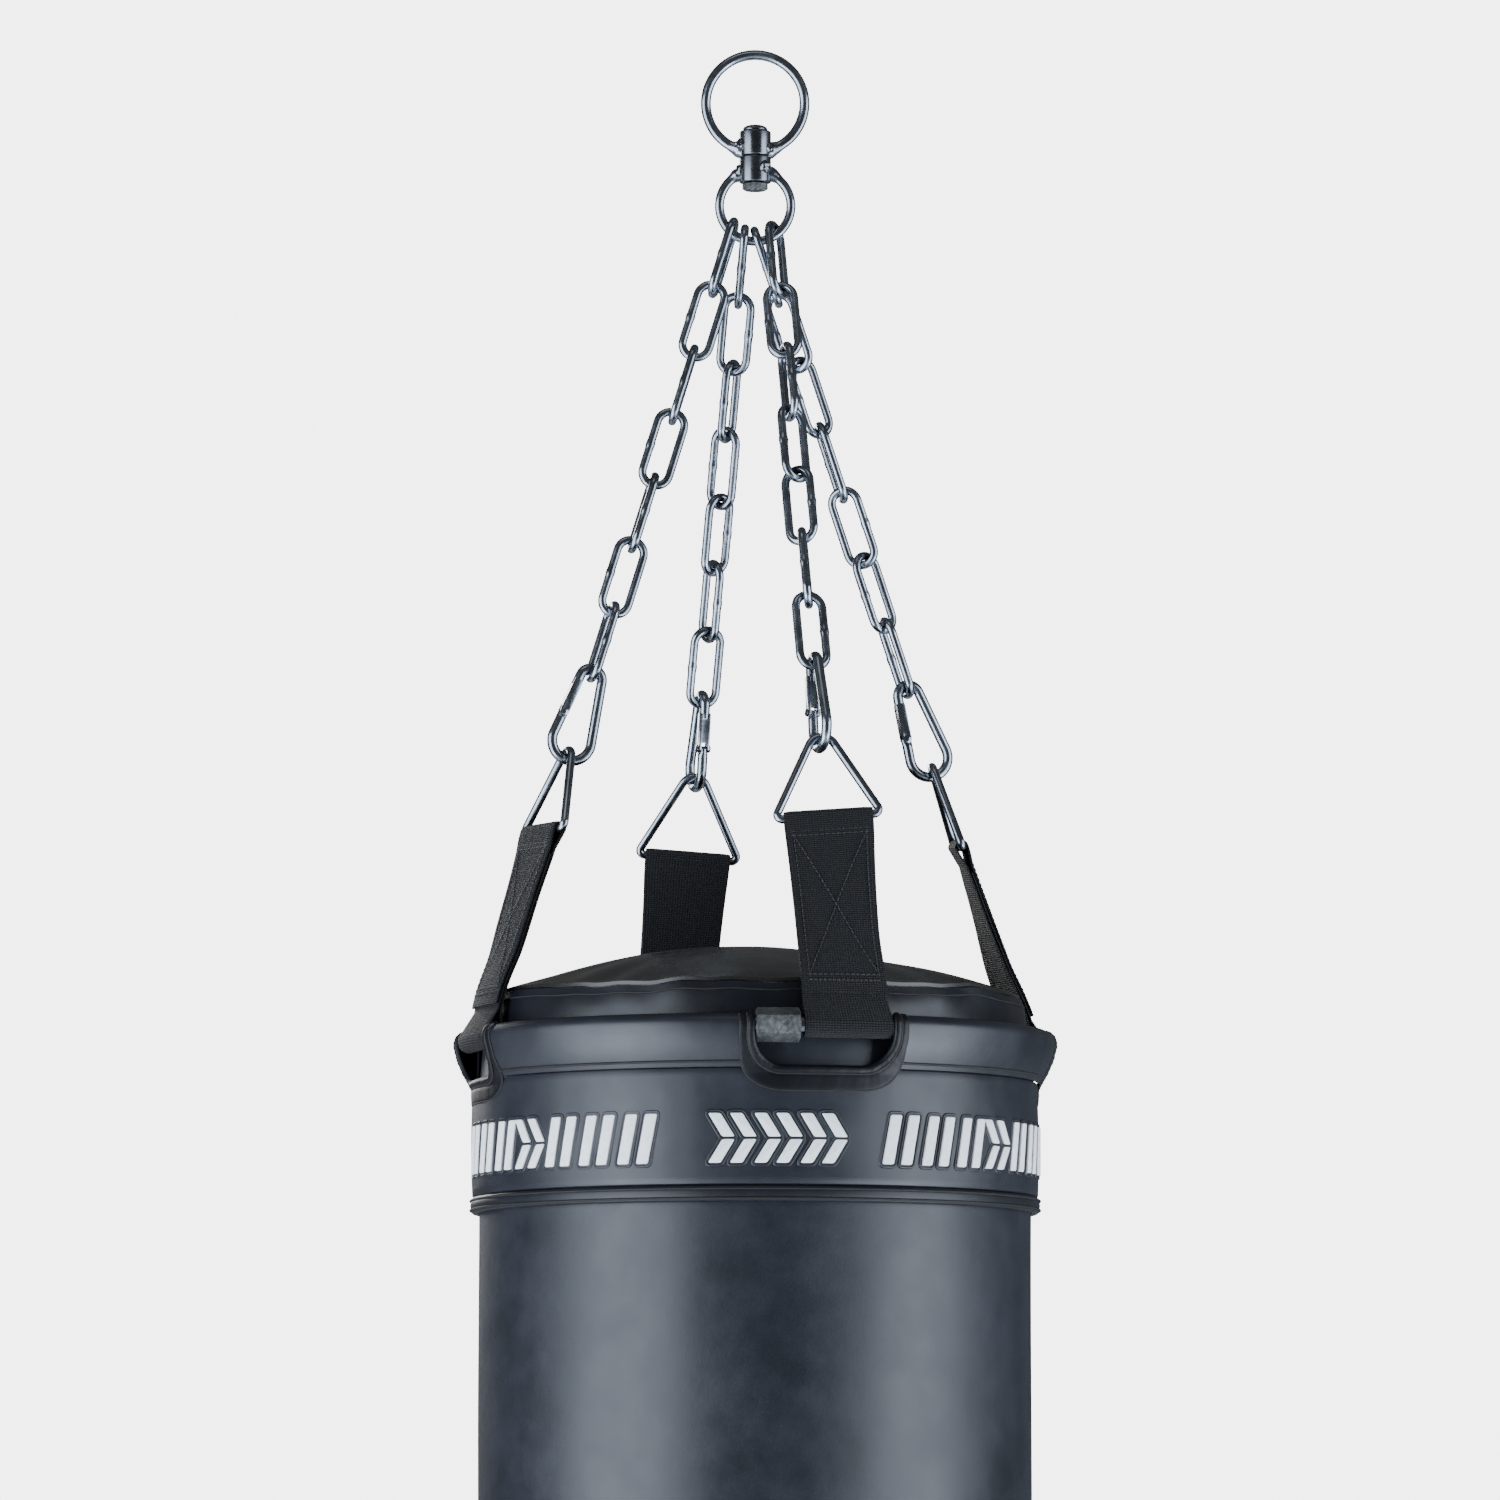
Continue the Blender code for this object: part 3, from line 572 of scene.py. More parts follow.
# each leather: its colour in the creases (painted shade) and on the flats, its roughness from and to, and its
# gloss
bagLeather = softLeather("bagLeather", (0.0050, 0.0064, 0.0105), (0.0100, 0.0125, 0.0195), (0.38, 0.52))
rimLeather = softLeather("rimLeather", (0.0055, 0.0068, 0.0110), (0.0110, 0.0138, 0.0205), (0.35, 0.48))
pipeLeather = softLeather("pipeLeather", (0.0018, 0.0022, 0.0032), (0.0040, 0.0050, 0.0075),
                          (0.40, 0.52), 0.26)
tapeLeather = softLeather("tapeLeather", (0.0036, 0.0046, 0.0070), (0.0075, 0.0095, 0.0145),
                          (0.38, 0.50), 0.42)
# the bag leather made darker for the collar: painted shade of the collar set back inside the rim
shadedCollarLeather = softLeather("shadedCollarLeather", (0.0030, 0.0037, 0.0056), (0.0062, 0.0078, 0.0118),
                            (0.30, 0.42), 0.34)
lidVinyl = softLeather("lidVinyl", (0.0050, 0.0045, 0.0040), (0.0110, 0.0098, 0.0085), (0.26, 0.38), 0.50)
webbing = ribbedWebbing("webbing")
seamThread = twistedThread("seamThread", (0.010, 0.011, 0.016), (0.030, 0.033, 0.045))
hemThread = twistedThread("hemThread", (0.010, 0.012, 0.018), (0.045, 0.052, 0.075))
strapThread = twistedThread("strapThread", (0.004, 0.004, 0.005), (0.012, 0.012, 0.014))
seamShadow = softLeather("seamShadow", (0.0008, 0.0008, 0.0010), (0.0020, 0.0020, 0.0024), (0.60, 0.80))
paleThread = twistedThread("paleThread", (0.035, 0.040, 0.055), (0.10, 0.11, 0.14))
printWhite = whiteRubber("printWhite")
print("materials made")


# each blob of weld: name, bearing in degrees, height up the barrel as a share, size and body
swivelShape = {"edge": 0.0009, "weldSwell": 0.70, "weldReach": 0.0068, "headLip": 0.0011, "chamfer": 0.94,
               "barrelBore": 0.0043, "nutBore": 0.0041,
               "blobs": [("upperLeftWeld", 200, 0.42, 0.0042, "hanger"),
                         ("upperRightWeld", -22, 0.30, 0.0036, "hanger"),
                         ("lowerLeftWeld", 196, 0.45, 0.0036, "swivel"),
                         ("lowerRightWeld", -48, 0.55, 0.0038, "swivel")]}


# The ring's round wire, running into its barrel through a lumpy weld.
def makeRing(node, barrel, middle, material, name):
    low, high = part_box(node)
    wire = high.y - low.y
    radius = (high.x - low.x) / 2 - wire / 2
    centre = high.z - wire / 2 - radius if middle < 0 else low.z + wire / 2 + radius
    barrelLow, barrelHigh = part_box(barrel)
    barrelRadius = (barrelHigh.x - barrelLow.x) / 2
    inside = math.degrees(math.asin(barrelRadius * 0.75 / radius))
    edge = math.asin(barrelRadius / radius)
    points, radii = [], []
    steps = 150
    for step in range(steps + 1):
        degrees = middle + inside + (360 - 2 * inside) * step / steps
        angle = math.radians(degrees)
        points.append((radius * math.cos(angle), 0.0, centre + radius * math.sin(angle)))
        nearest = min(abs(angle - math.radians(middle)), abs(math.radians(middle + 360) - angle))
        fromBarrel = (nearest - edge) * radius
        bead = 1 - smoothStep(-0.001, swivelShape["weldReach"], fromBarrel)
        lump = noise.noise(Vector((angle * 9.0, radius * 300, 1.0)))
        radii.append(1.0 + bead * swivelShape["weldSwell"] * (1 + 0.35 * lump))
    return tube(name, points, wire / 2, False, material, 8, radii)


def roundedDrum(node, name, bore, material):
    low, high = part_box(node)
    radius, edge = high.x, swivelShape["edge"]
    profile = [(bore, high.z), (bore + 0.0006, high.z)]
    profile += arcPoints((radius - edge, high.z - edge), edge, 90, 0, 4)
    profile += arcPoints((radius - edge, low.z + edge), edge, 0, -90, 4)
    profile += [(bore + 0.0006, low.z), (bore, low.z)]
    return lathe(name, profile, 64, material)


# A chamfered hexagon nut about its own Z, with its corner on X.
def hexNut(name, place, flats, height, bore, material):
    steps = 96
    verts, faces = [], []
    face = flats / 2 * swivelShape["chamfer"]
    for step in range(steps):
        angle = 2 * math.pi * step / steps
        reach = flats / 2 / math.cos((angle % (math.pi / 3)) - math.pi / 6)
        drop = (reach - face) * 0.55
        rim = bore + 0.0007
        profile = [(bore, height / 2 - 0.0006), (rim, height / 2), (face, height / 2),
                   (reach, height / 2 - drop)]
        profile += [(radius, -z) for radius, z in reversed(profile)]
        verts += [place @ polar(angle, radius, z) for radius, z in profile]
    rows = 8
    for step in range(steps):
        here, there = step * rows, (step + 1) % steps * rows
        for row in range(rows):
            below = (row + 1) % rows
            faces.append((here + row, here + below, there + below, there + row))
    return smoothShade(outward(newPiece(name, verts, faces, material)), 14)


def makeSwivel():
    hangingRing = makeRing("hanging_ring", "swivel_upper_barrel", -90.0, steel, "hangingRing")
    placePiece(hangingRing, "hanger", ["hanging_ring"])
    lowerRing = makeRing("lower_ring", "swivel_lower_barrel", 90.0, steel, "lowerRing")
    placePiece(lowerRing, "swivel", ["lower_ring"])
    low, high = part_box("swivel_pin")
    nutLow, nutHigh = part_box("swivel_nut")
    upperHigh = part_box("swivel_upper_barrel")[1]
    head = high.x
    for node, name, body in (("swivel_upper_barrel", "upperBarrel", "hanger"),
                             ("swivel_lower_barrel", "lowerBarrel", "swivel")):
        drum = roundedDrum(node, name, swivelShape["barrelBore"], swivelSteel)
        placePiece(drum, body, [node])
    for name, bearing, height, size, body in swivelShape["blobs"]:
        node = "swivel_upper_barrel" if body == "hanger" else "swivel_lower_barrel"
        drumLow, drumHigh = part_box(node)
        level = drumLow.z + (drumHigh.z - drumLow.z) * height
        middle = polar(math.radians(bearing), drumHigh.x - size * 0.25, level)
        ball = bmesh.new()
        bmesh.ops.create_icosphere(ball, subdivisions=4, radius=size)
        for vert in ball.verts:
            vert.co = middle + vert.co * (1 + 0.28 * noise.noise(vert.co * 420 + middle * 300))
        mesh = bpy.data.meshes.new(name)
        ball.to_mesh(mesh)
        ball.free()
        mesh.materials.append(swivelSteel)
        weld = bpy.data.objects.new(name, mesh)
        bpy.context.scene.collection.objects.link(weld)
        attach(smoothShade(weld, 80), body)
    seat = upperHigh.z + 0.0002
    lip = swivelShape["headLip"]
    dome = high.z - seat - lip
    profile = [(head * math.sin(math.radians(step * 9)), seat + lip + dome * math.cos(math.radians(step * 9)))
               for step in range(11)]
    profile[0] = (0.0, high.z)
    profile += [(head, seat + 0.0003), (head - 0.0004, seat), (0.004, seat), (0.004, low.z + 0.0006)]
    profile += [(0.0034, low.z), (0.0, low.z)]
    pin = lathe("swivelPin", profile, 48, swivelSteel, closed=False)
    placePiece(pin, "swivel", ["swivel_pin"])
    place = Matrix.Translation((0.0, 0.0, (nutLow.z + nutHigh.z) / 2))
    nut = hexNut("swivelNut", place, nutHigh.y - nutLow.y, nutHigh.z - nutLow.z, swivelShape["nutBore"],
                 nutSteel)
    placePiece(nut, "swivel", ["swivel_nut"])


makeSwivel()
print("ring and swivel made")


hookShape = {"wire": 0.006, "topWidth": 0.0195, "footWidth": 0.0295, "nose": 0.0064, "noseFlat": 0.0033,
             "pivot": 0.0245, "tang": 0.0030, "flat": 0.0014, "rivetHead": 0.0023, "rivetReach": 0.0040}
triangleShape = {"wire": 0.005, "apex": 0.008, "corner": 0.003}


# The leg's upward direction, from its last link towards its first.
def legUp(side):
    first, last = nodePoints(f"chain_{side}_link_1"), nodePoints(f"chain_{side}_link_7")
    return Vector(first.mean(0) - last.mean(0)).normalized()


linkShape = {"wire": 0.005, "weld": 0.13}


def makeChain(side):
    up = legUp(side)
    names = [f"chain_{side}_link_{index}" for index in range(1, 8)]
    frames = [wireFrame(name, up)[0] for name in names]
    half = wireFrame(names[0], up)[1]  # half a link's width, wire and length
    mesh = bpy.data.meshes.new("linkPlaces")
    mesh.from_pydata([place.translation for place in frames], [], [])
    turns = mesh.attributes.new("turn", "FLOAT_VECTOR", "POINT")
    for index, place in enumerate(frames):
        turns.data[index].vector = place.to_euler("XYZ")
    source = bpy.data.objects.new("linkPlaces", mesh)
    bpy.context.scene.collection.objects.link(source)
    chain = grow(source, f"chain_{side}", linkTree, steel, Length=half[2] * 2, Width=half[0] * 2,
                 Wire=linkShape["wire"], Weld=linkShape["weld"])
    placePiece(chain, "bag", names)


# A copy of a CAD node with softened edges.
def refined(node, name, material, width):
    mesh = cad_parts[node].data.copy()
    shape = bmesh.new()
    shape.from_mesh(mesh)
    bmesh.ops.remove_doubles(shape, verts=shape.verts, dist=0.000003)
    bmesh.ops.dissolve_limit(shape, angle_limit=math.radians(4), verts=shape.verts, edges=shape.edges)
    shape.to_mesh(mesh)
    shape.free()
    source = bpy.data.objects.new(name, mesh)
    bpy.context.scene.collection.objects.link(source)
    bevel = source.modifiers.new("soften", "BEVEL")
    bevel.width = width
    bevel.segments = 3
    bevel.limit_method = "ANGLE"
    bevel.angle_limit = math.radians(30)
    return smoothShade(asMesh(source, name, material), 30)


# The pear-shaped snap hook, with flattened nose and tang, its rivet and its gate.
def makeHook(side):
    shape = hookShape
    up = legUp(side)
    place, half = wireFrame(f"carabiner_{side}", up)
    gateSide = (place.inverted() @ Vector(nodePoints(f"gate_{side}").mean(0))).x
    if gateSide < 0:
        place = place @ Matrix.Rotation(math.pi, 4, "Z")
    top, foot = (shape["topWidth"] - shape["wire"]) / 2, (shape["footWidth"] - shape["wire"]) / 2
    highest, lowest = half[2] - shape["wire"] / 2, shape["wire"] / 2 - half[2]
    steps = 32
    loop = belt([(0.0, lowest + foot, foot), (0.0, highest - top, top)], steps)
    footBow, topBow = loop[:steps + 1], loop[steps + 1:]
    low, high = Vector(footBow[-1]), Vector(topBow[0])
    run = (low - high).normalized()
    pivot = high + run * shape["pivot"]
    leg = [high + run * shape["nose"] * (1 - step / 10) for step in range(10)]
    tail = [low + (pivot - low) * step / 8 for step in range(1, 9)]
    path = leg + [Vector(p) for p in topBow] + [Vector(p) for p in footBow] + tail
    wireRadius = shape["wire"] / 2
    hook = tube("hookWire", [(p.x, 0.0, p.y) for p in path], wireRadius, False, steel, 8)
    for vert in hook.data.vertices:
        along = (Vector((vert.co.x, vert.co.z)) - high).dot(run)
        if vert.co.x > 0 and (shape["noseFlat"] < along < shape["nose"] + 0.001
                              or abs(along - shape["pivot"]) < shape["tang"]):
            vert.co.y = min(max(vert.co.y, -shape["flat"]), shape["flat"])
    reach, rim = shape["rivetReach"], shape["rivetHead"]
    profile = [(0.0, reach + 0.0007), (rim * 0.6, reach + 0.0005), (rim, reach), (rim, reach - 0.0005),
               (0.0015, reach - 0.0006)]
    profile += [(radius, -height) for radius, height in reversed(profile)]
    rivet = lathe("rivet", profile, 24, steel, closed=False)
    rivet.data.transform(Matrix.Translation((pivot.x, 0.0, pivot.y)) @ Matrix.Rotation(math.pi / 2, 4, "X"))
    joined = joinPieces(f"snapHook_{side}", [hook, rivet], steel)
    joined.data.transform(place)
    placePiece(joined, f"carabiner_{side}", [f"carabiner_{side}"])
    gate = refined(f"gate_{side}", f"hookGate_{side}", steel, 0.0007)
    placePiece(gate, f"gate_{side}", [f"gate_{side}"])


# The triangle ring, and the frame of its base rod.
def makeTriangle(side):
    shape = triangleShape
    up = legUp(side)
    place, half = wireFrame(f"triangle_ring_{side}", up)
    wire = shape["wire"]
    highest, lowest = half[2] - wire / 2, wire / 2 - half[2]
    wide = half[0] - wire / 2
    corner = shape["corner"]
    circles = [(0.0, highest - shape["apex"], shape["apex"]), (corner - wide, lowest + corner, corner),
               (wide - corner, lowest + corner, corner)]
    loop = belt(circles, 16)
    ring = tube(f"triangleRing_{side}", [(x, 0.0, z) for x, z in loop], wire / 2, True, steel, 8)
    ring.data.transform(place)
    placePiece(ring, "bag", [f"triangle_ring_{side}"])
    outwardSide = place.col[1].to_3d()
    middle = place @ Vector((0.0, 0.0, lowest))
    if outwardSide.dot(Vector((middle.x, middle.y, 0.0))) < 0:
        place = place @ Matrix.Rotation(math.pi, 4, "Z")
    return place @ Matrix.Translation((0.0, 0.0, lowest))


hoopLow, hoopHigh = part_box("rim_hoop")
hoopRod = hoopHigh.z - hoopLow.z
hoopRadius = hoopHigh.x - hoopRod / 2
hoopZ = (hoopHigh.z + hoopLow.z) / 2

strapShape = {"width": 0.0505, "layer": 0.0016, "spread": 0.0017, "foldAt": 0.15, "headGap": 0.0002,
              "footGap": 0.0004, "boxTop": 0.012, "boxFoot": 0.010, "boxSide": 0.0045, "rowGap": 0.0026}


# The webbing's centreline as (out, up), up from the hoop: front end, head loop, back, foot loop, front.
def ribbonPath(length, rodRadius):
    shape = strapShape
    layer, spread = shape["layer"], shape["spread"]
    head = rodRadius + shape["headGap"] + layer / 2
    foot = hoopRod / 2 + shape["footGap"] + layer / 2
    foldAt = length * shape["foldAt"]
    path = [(1.55 * spread, foldAt - 0.0006), (1.55 * spread, foldAt + 0.004)]
    path += [(1.5 * spread, up) for up in np.linspace(foldAt + 0.010, length - 0.013, 14)]
    path += [(1.9 * spread + (head - 1.9 * spread) * 0.6, length - 0.005)]
    path += arcPoints((0, length), head, 0, 180, 14)
    path += [(-0.8 * spread - (head - 0.8 * spread) * 0.5, length - 0.005)]
    path += [(-0.5 * spread, up) for up in np.linspace(length - 0.012, 0.016, 18)]
    path += [(-0.5 * spread - (foot - 0.5 * spread) * 0.55, 0.0075)]
    path += arcPoints((0, 0), foot, 180, 360, 18)
    path += [(0.5 * spread + (foot - 0.5 * spread) * 0.55, 0.0075)]
    path += [(0.5 * spread, up) for up in np.linspace(0.016, length - 0.016, 18)]
    return path


# A function that lays (along, out, up) between the hoop's curve and the triangle's straight rod.
def strapMap(side, rodFrame):
    points = nodePoints(f"strap_{side}")
    lowest = points[points[:, 2] < points[:, 2].min() + 0.004]
    azimuth = math.atan2(lowest[:, 1].mean(), lowest[:, 0].mean())
    start = polar(azimuth, hoopRadius, hoopZ)
    up = (rodFrame.translation - start).normalized()
    length = (rodFrame.translation - start).length
    lean = math.acos(up.z)
    flip = 1.0 if rodFrame.col[0].to_3d().dot(polar(azimuth + math.pi / 2, 1.0)) > 0 else -1.0

    def lay(along, out, height):
        at = azimuth + flip * along / hoopRadius
        rise = polar(at, -math.sin(lean), math.cos(lean))
        outside = polar(at, math.cos(lean), math.sin(lean))
        low = polar(at, hoopRadius, hoopZ) + outside * out + rise * height
        high = rodFrame @ Vector((along, out, height - length))
        share = min(max((height - 0.014) / (length - 0.024), 0.0), 1.0)
        bow = 0.0016 * math.sin(math.pi * min(max(height / 0.055, 0.0), 1.0)) ** 2
        return low.lerp(high, share) + outside * bow

    return lay, length, azimuth


# Webbing doubled round rod and hoop, as one swept band with its box-and-cross stitching.
def makeStrap(side, rodFrame):
    shape = strapShape
    lay, length = strapMap(side, rodFrame)[:2]
    path = ribbonPath(length, triangleShape["wire"] / 2)
    stations = 17
    half, thick = shape["width"] / 2, shape["layer"] / 2
    verts, uvs, faces = [], [], []
    travel = 0.0
    for index, (out, up) in enumerate(path):
        before, after = path[max(index - 1, 0)], path[min(index + 1, len(path) - 1)]
        run = Vector((after[0] - before[0], after[1] - before[1])).normalized()
        sideways = Vector((run.y, -run.x))
        if index:
            travel += math.dist(path[index - 1], (out, up))
        for face in (1, -1):
            for station in range(stations):
                across = -1 + 2 * station / (stations - 1)
                edge = 1 - 0.45 * max(abs(across) - 0.94, 0.0) / 0.06
                waver = 0.00018 * math.sin(station * 2.1 + index * 0.7)
                lift = face * thick * edge
                verts.append(lay(across * half, out + sideways.x * lift + waver, up + sideways.y * lift))
                uvs.append((across * half * face, travel))
    row = 2 * stations
    for index in range(len(path) - 1):
        a, b = index * row, (index + 1) * row
        for station in range(stations - 1):
            faces.append((a + station, a + station + 1, b + station + 1, b + station))
            c, d = a + stations + station, b + stations + station
            faces.append((c, d, d + 1, c + 1))
        faces.append((a, b, b + stations, a + stations))
        faces.append((a + stations - 1, a + row - 1, b + row - 1, b + stations - 1))
    for base in (0, (len(path) - 1) * row):
        for station in range(stations - 1):
            near, far = base + station, base + stations + station
            quad = (near, near + 1, far + 1, far)
            faces.append(quad if base else quad[::-1])
    strap = outward(newPiece(f"webbing_{side}", verts, faces, webbing, uvs))
    smoothShade(strap, 55)
    placePiece(strap, "bag", [f"strap_{side}"])

    front = 1.5 * shape["spread"] + thick + 0.00015
    boxTop, boxFoot = length - shape["boxTop"], length * shape["foldAt"] + shape["boxFoot"]
    edge = half - shape["boxSide"]

    def seam(first, second, steps=40):
        return [lay(first[0] + (second[0] - first[0]) * s / steps, front,
                    first[1] + (second[1] - first[1]) * s / steps) for s in range(steps + 1)]

    corners = [(-edge, boxFoot), (edge, boxFoot), (edge, boxTop), (-edge, boxTop)]
    paths = [seam(corners[i], corners[(i + 1) % 4]) for i in range(4)]
    paths += [seam(corners[0], corners[2]), seam(corners[1], corners[3])]
    paths.append(seam((-edge, boxTop + shape["rowGap"]), (edge, boxTop + shape["rowGap"])))
    stitches = sew(f"strapStitches_{side}", paths, strapThread, pitch=0.0031, length=0.0025,
                   thickness=0.0008, grooveShade=False)
    attach(stitches, "bag")
    ends = [seam((-edge * 0.98, boxFoot - 0.0035), (edge * 0.98, boxFoot - 0.0035))]
    tacks = sew(f"strapTacks_{side}", ends, strapThread, pitch=0.0026, length=0.0022,
                thickness=0.0012, slant=0.5, grooveShade=False)
    attach(tacks, "bag")


strapBearings = {}
for side in legNames:
    makeChain(side)
    makeHook(side)
    rodFrame = makeTriangle(side)
    makeStrap(side, rodFrame)
    strapBearings[side] = strapMap(side, rodFrame)[2]
print("chain legs made")


rimShape = {"leather": 0.0012, "windowHalf": 0.0412, "windowDepth": 0.0238, "corner": 0.019,
            "offset": math.radians(-4.6), "footDrop": 0.0232, "footRadius": 0.1646, "bandRadius": 0.1635,
            "roll": 0.0068}
pipeShape = {"inner": 0.0015, "outer": 0.0009, "width": 0.0068, "low": 0.0122, "inside": 0.0012,
             "rowPitch": 0.0032}


# The rim leather's outer radius at a height, from the fold down over the band.
def rimRadius(height):
    roll, foot = rimShape["roll"], hoopZ - rimShape["footDrop"]
    if height >= hoopZ:
        rise = min(height - hoopZ, roll)
        return hoopRadius + math.sqrt(max(roll * roll - rise * rise, 0.0))
    if height >= foot:
        share = (hoopZ - height) / (hoopZ - foot)
        waist = math.sin(math.pi * share) * 0.0010
        return hoopRadius + roll - (hoopRadius + roll - rimShape["footRadius"]) * share ** 1.15 + waist
    return rimShape["bandRadius"] + (rimShape["footRadius"] - rimShape["bandRadius"]) * (
        1 - smoothStep(0.0, 0.004, foot - height))


# A point on the rim's outside, across metres to the side of a facing, lifted off the leather.
def rimPoint(facing, across, height, lift=0.0):
    radius = rimRadius(height)
    angle = facing + math.asin(across / radius)
    slope = (rimRadius(height + 0.0005) - rimRadius(height - 0.0005)) / 0.001
    normal = Vector((1.0, -slope)).normalized()
    if height >= hoopZ + rimShape["roll"] * 0.95:
        normal = Vector((0.25, 0.97))
    return polar(angle, radius + normal.x * lift, height + normal.y * lift)


# The window's edge as (across, height) with outward turns: down, round its corners and up.
def windowPath(steps=26):
    half, depth, corner = rimShape["windowHalf"], rimShape["windowDepth"], rimShape["corner"]
    top, low = hoopZ + rimShape["roll"] * 0.985, hoopZ - depth
    points = [((-half, top + (low + corner - top) * s / 12), (-1.0, 0.0)) for s in range(12)]
    for s in range(steps + 1):
        angle = math.pi + math.pi / 2 * s / steps
        turn = (math.cos(angle), math.sin(angle))
        points.append(((corner - half + corner * turn[0], low + corner + corner * turn[1]), turn))
    span = 2 * (half - corner)
    points += [((corner - half + span * s / 20, low), (0.0, -1.0)) for s in range(1, 20)]
    for s in range(steps + 1):
        angle = 1.5 * math.pi + math.pi / 2 * s / steps
        turn = (math.cos(angle), math.sin(angle))
        points.append(((half - corner + corner * turn[0], low + corner + corner * turn[1]), turn))
    points += [((half, low + corner + (top - low - corner) * s / 12), (1.0, 0.0)) for s in range(1, 13)]
    return points


# The binding's section as (offset from the edge, lift): a round roll, a stitched valley and a flat hem.
def pipingProfile(width):
    inside, inner, outer = pipeShape["inside"], pipeShape["inner"], pipeShape["outer"]
    section = []
    for step in range(19):
        offset = -inside + (width + inside) * step / 18
        roll = max(1 - ((offset + inside - 0.0023) / 0.0023) ** 2, 0.0) ** 0.5 * inner
        across = (offset + inside - 0.0048 - (width - 0.0033) / 2) / ((width - 0.0028) / 2)
        hem = max(1 - across ** 4, 0.0) ** 0.5 * outer
        section.append((offset, max(roll, hem, 0.0001)))
    return section + [(width, -0.0007), (-inside, -0.0012)]


def pipingWidth(turn):
    below = smoothStep(0.2, 0.9, -turn[1])
    return pipeShape["width"] + (pipeShape["low"] - pipeShape["width"]) * below


def makePiping(side, facing):
    path = windowPath()
    verts, faces = [], []
    for index, ((across, height), turn) in enumerate(path):
        section = pipingProfile(pipingWidth(turn))
        for offset, lift in section:
            pucker = 1 + 0.10 * math.sin(index * 2.3 + offset * 400) + 0.06 * math.sin(index * 0.9)
            reach = min(height + turn[1] * offset, hoopZ + rimShape["roll"] * 0.985)
            raised = lift * (pucker if lift > 0 else 1)
            verts.append(rimPoint(facing, across + turn[0] * offset, reach, raised))
    rows = len(section)
    for index in range(len(path) - 1):
        for row in range(rows):
            below = (row + 1) % rows
            a, b = index * rows, (index + 1) * rows
            faces.append((a + row, a + below, b + below, b + row))
    faces += [tuple(range(rows)), tuple(range((len(path) - 1) * rows, len(path) * rows))[::-1]]
    piping = smoothShade(outward(newPiece(f"windowPiping_{side}", verts, faces, pipeLeather)), 60)
    attach(piping, "bag")
    for name, back, lift in (("pipeStitches", 0.0, 0.0007), ("edgeStitches", 1.0, 0.0002)):
        line = []
        for (across, height), turn in path[2:-2]:
            offset = 0.0030 + back * (pipingWidth(turn) - 0.0028)
            line.append(rimPoint(facing, across + turn[0] * offset, height + turn[1] * offset, lift))
        stitches = sew(f"{name}_{side}", [line], hemThread, pitch=pipeShape["rowPitch"], length=0.0025,
                       thickness=0.0010)
        attach(stitches, "bag")


# The rim's leather, folded over the hoop, with a window cut for each strap.
def makeSleeve():
    wall, roll = rimShape["leather"], rimShape["roll"]
    foot = hoopZ - rimShape["footDrop"]
    outer = [(hoopRadius - roll, foot), (hoopRadius - roll, hoopZ - 0.008)]
    outer += arcPoints((hoopRadius, hoopZ), roll, 180, 0, 20)
    outer += [(rimRadius(z), z) for z in np.linspace(hoopZ - 0.0008, foot, 18)]
    inner = [(radius - wall, height) for radius, height in outer[-1:-18:-1]]
    inner += arcPoints((hoopRadius, hoopZ), roll - wall, 0, 180, 14)
    inner += [(hoopRadius - roll + wall, hoopZ - 0.008), (hoopRadius - roll + wall, foot)]

    sleeve = lathe("rimLeather", outer + inner, 288, rimLeather)
    outline = [point for point, turn in windowPath(10)]
    outline[0] = (outline[0][0], hoopZ + 0.02)
    outline[-1] = (outline[-1][0], hoopZ + 0.02)
    for side in legNames:
        facing = strapBearings[side] + rimShape["offset"]
        out, along = polar(facing, 1.0), polar(facing + math.pi / 2, 1.0)
        verts = [out * reach + along * across + Vector((0, 0, height))
                 for reach in (hoopRadius - 0.02, hoopRadius + 0.02) for across, height in outline]
        count = len(outline)
        faces = [tuple(range(count)), tuple(range(count, 2 * count))[::-1]]
        faces += [(i, (i + 1) % count, count + (i + 1) % count, count + i) for i in range(count)]
        cutter = outward(newPiece("windowCutter", verts, faces, rimLeather))
        cut = sleeve.modifiers.new("window", "BOOLEAN")
        cut.object = cutter
        cut.operation = "DIFFERENCE"
        sleeve = asMesh(sleeve, "rimLeather", rimLeather)
        bpy.data.objects.remove(cutter)
    smoothShade(sleeve, 50)
    placePiece(sleeve, "bag", ["rim_sleeve"])
    for side in legNames:
        makePiping(side, strapBearings[side] + rimShape["offset"])


nutShape = {"flats": 0.017, "length": 0.025, "bore": 0.0054}


# The bent steel rod, and the coupling nut that closes it.
def makeHoop():
    low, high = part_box("hoop_coupling_nut")
    middle = (low + high) / 2
    bearing = math.atan2(middle.y, middle.x)
    steps = 240
    points = [polar(bearing + 2 * math.pi * (step + 0.02) / (steps + 0.04), hoopRadius, hoopZ)
              for step in range(steps + 1)]
    hoop = tube("hoopRod", points, hoopRod / 2, False, steel, 8)
    placePiece(hoop, "bag", ["rim_hoop"])
    tangent, radial = polar(bearing + math.pi / 2, 1.0), polar(bearing, 1.0)
    turn = Matrix((radial.cross(tangent), radial, tangent)).transposed().to_4x4()
    place = Matrix.Translation(polar(bearing, hoopRadius - 0.00025, hoopZ)) @ turn
    nut = hexNut("couplingNut", place, nutShape["flats"], nutShape["length"], nutShape["bore"], nutSteel)
    placePiece(nut, "bag", ["hoop_coupling_nut"])


makeSleeve()
makeHoop()
print("rim made")


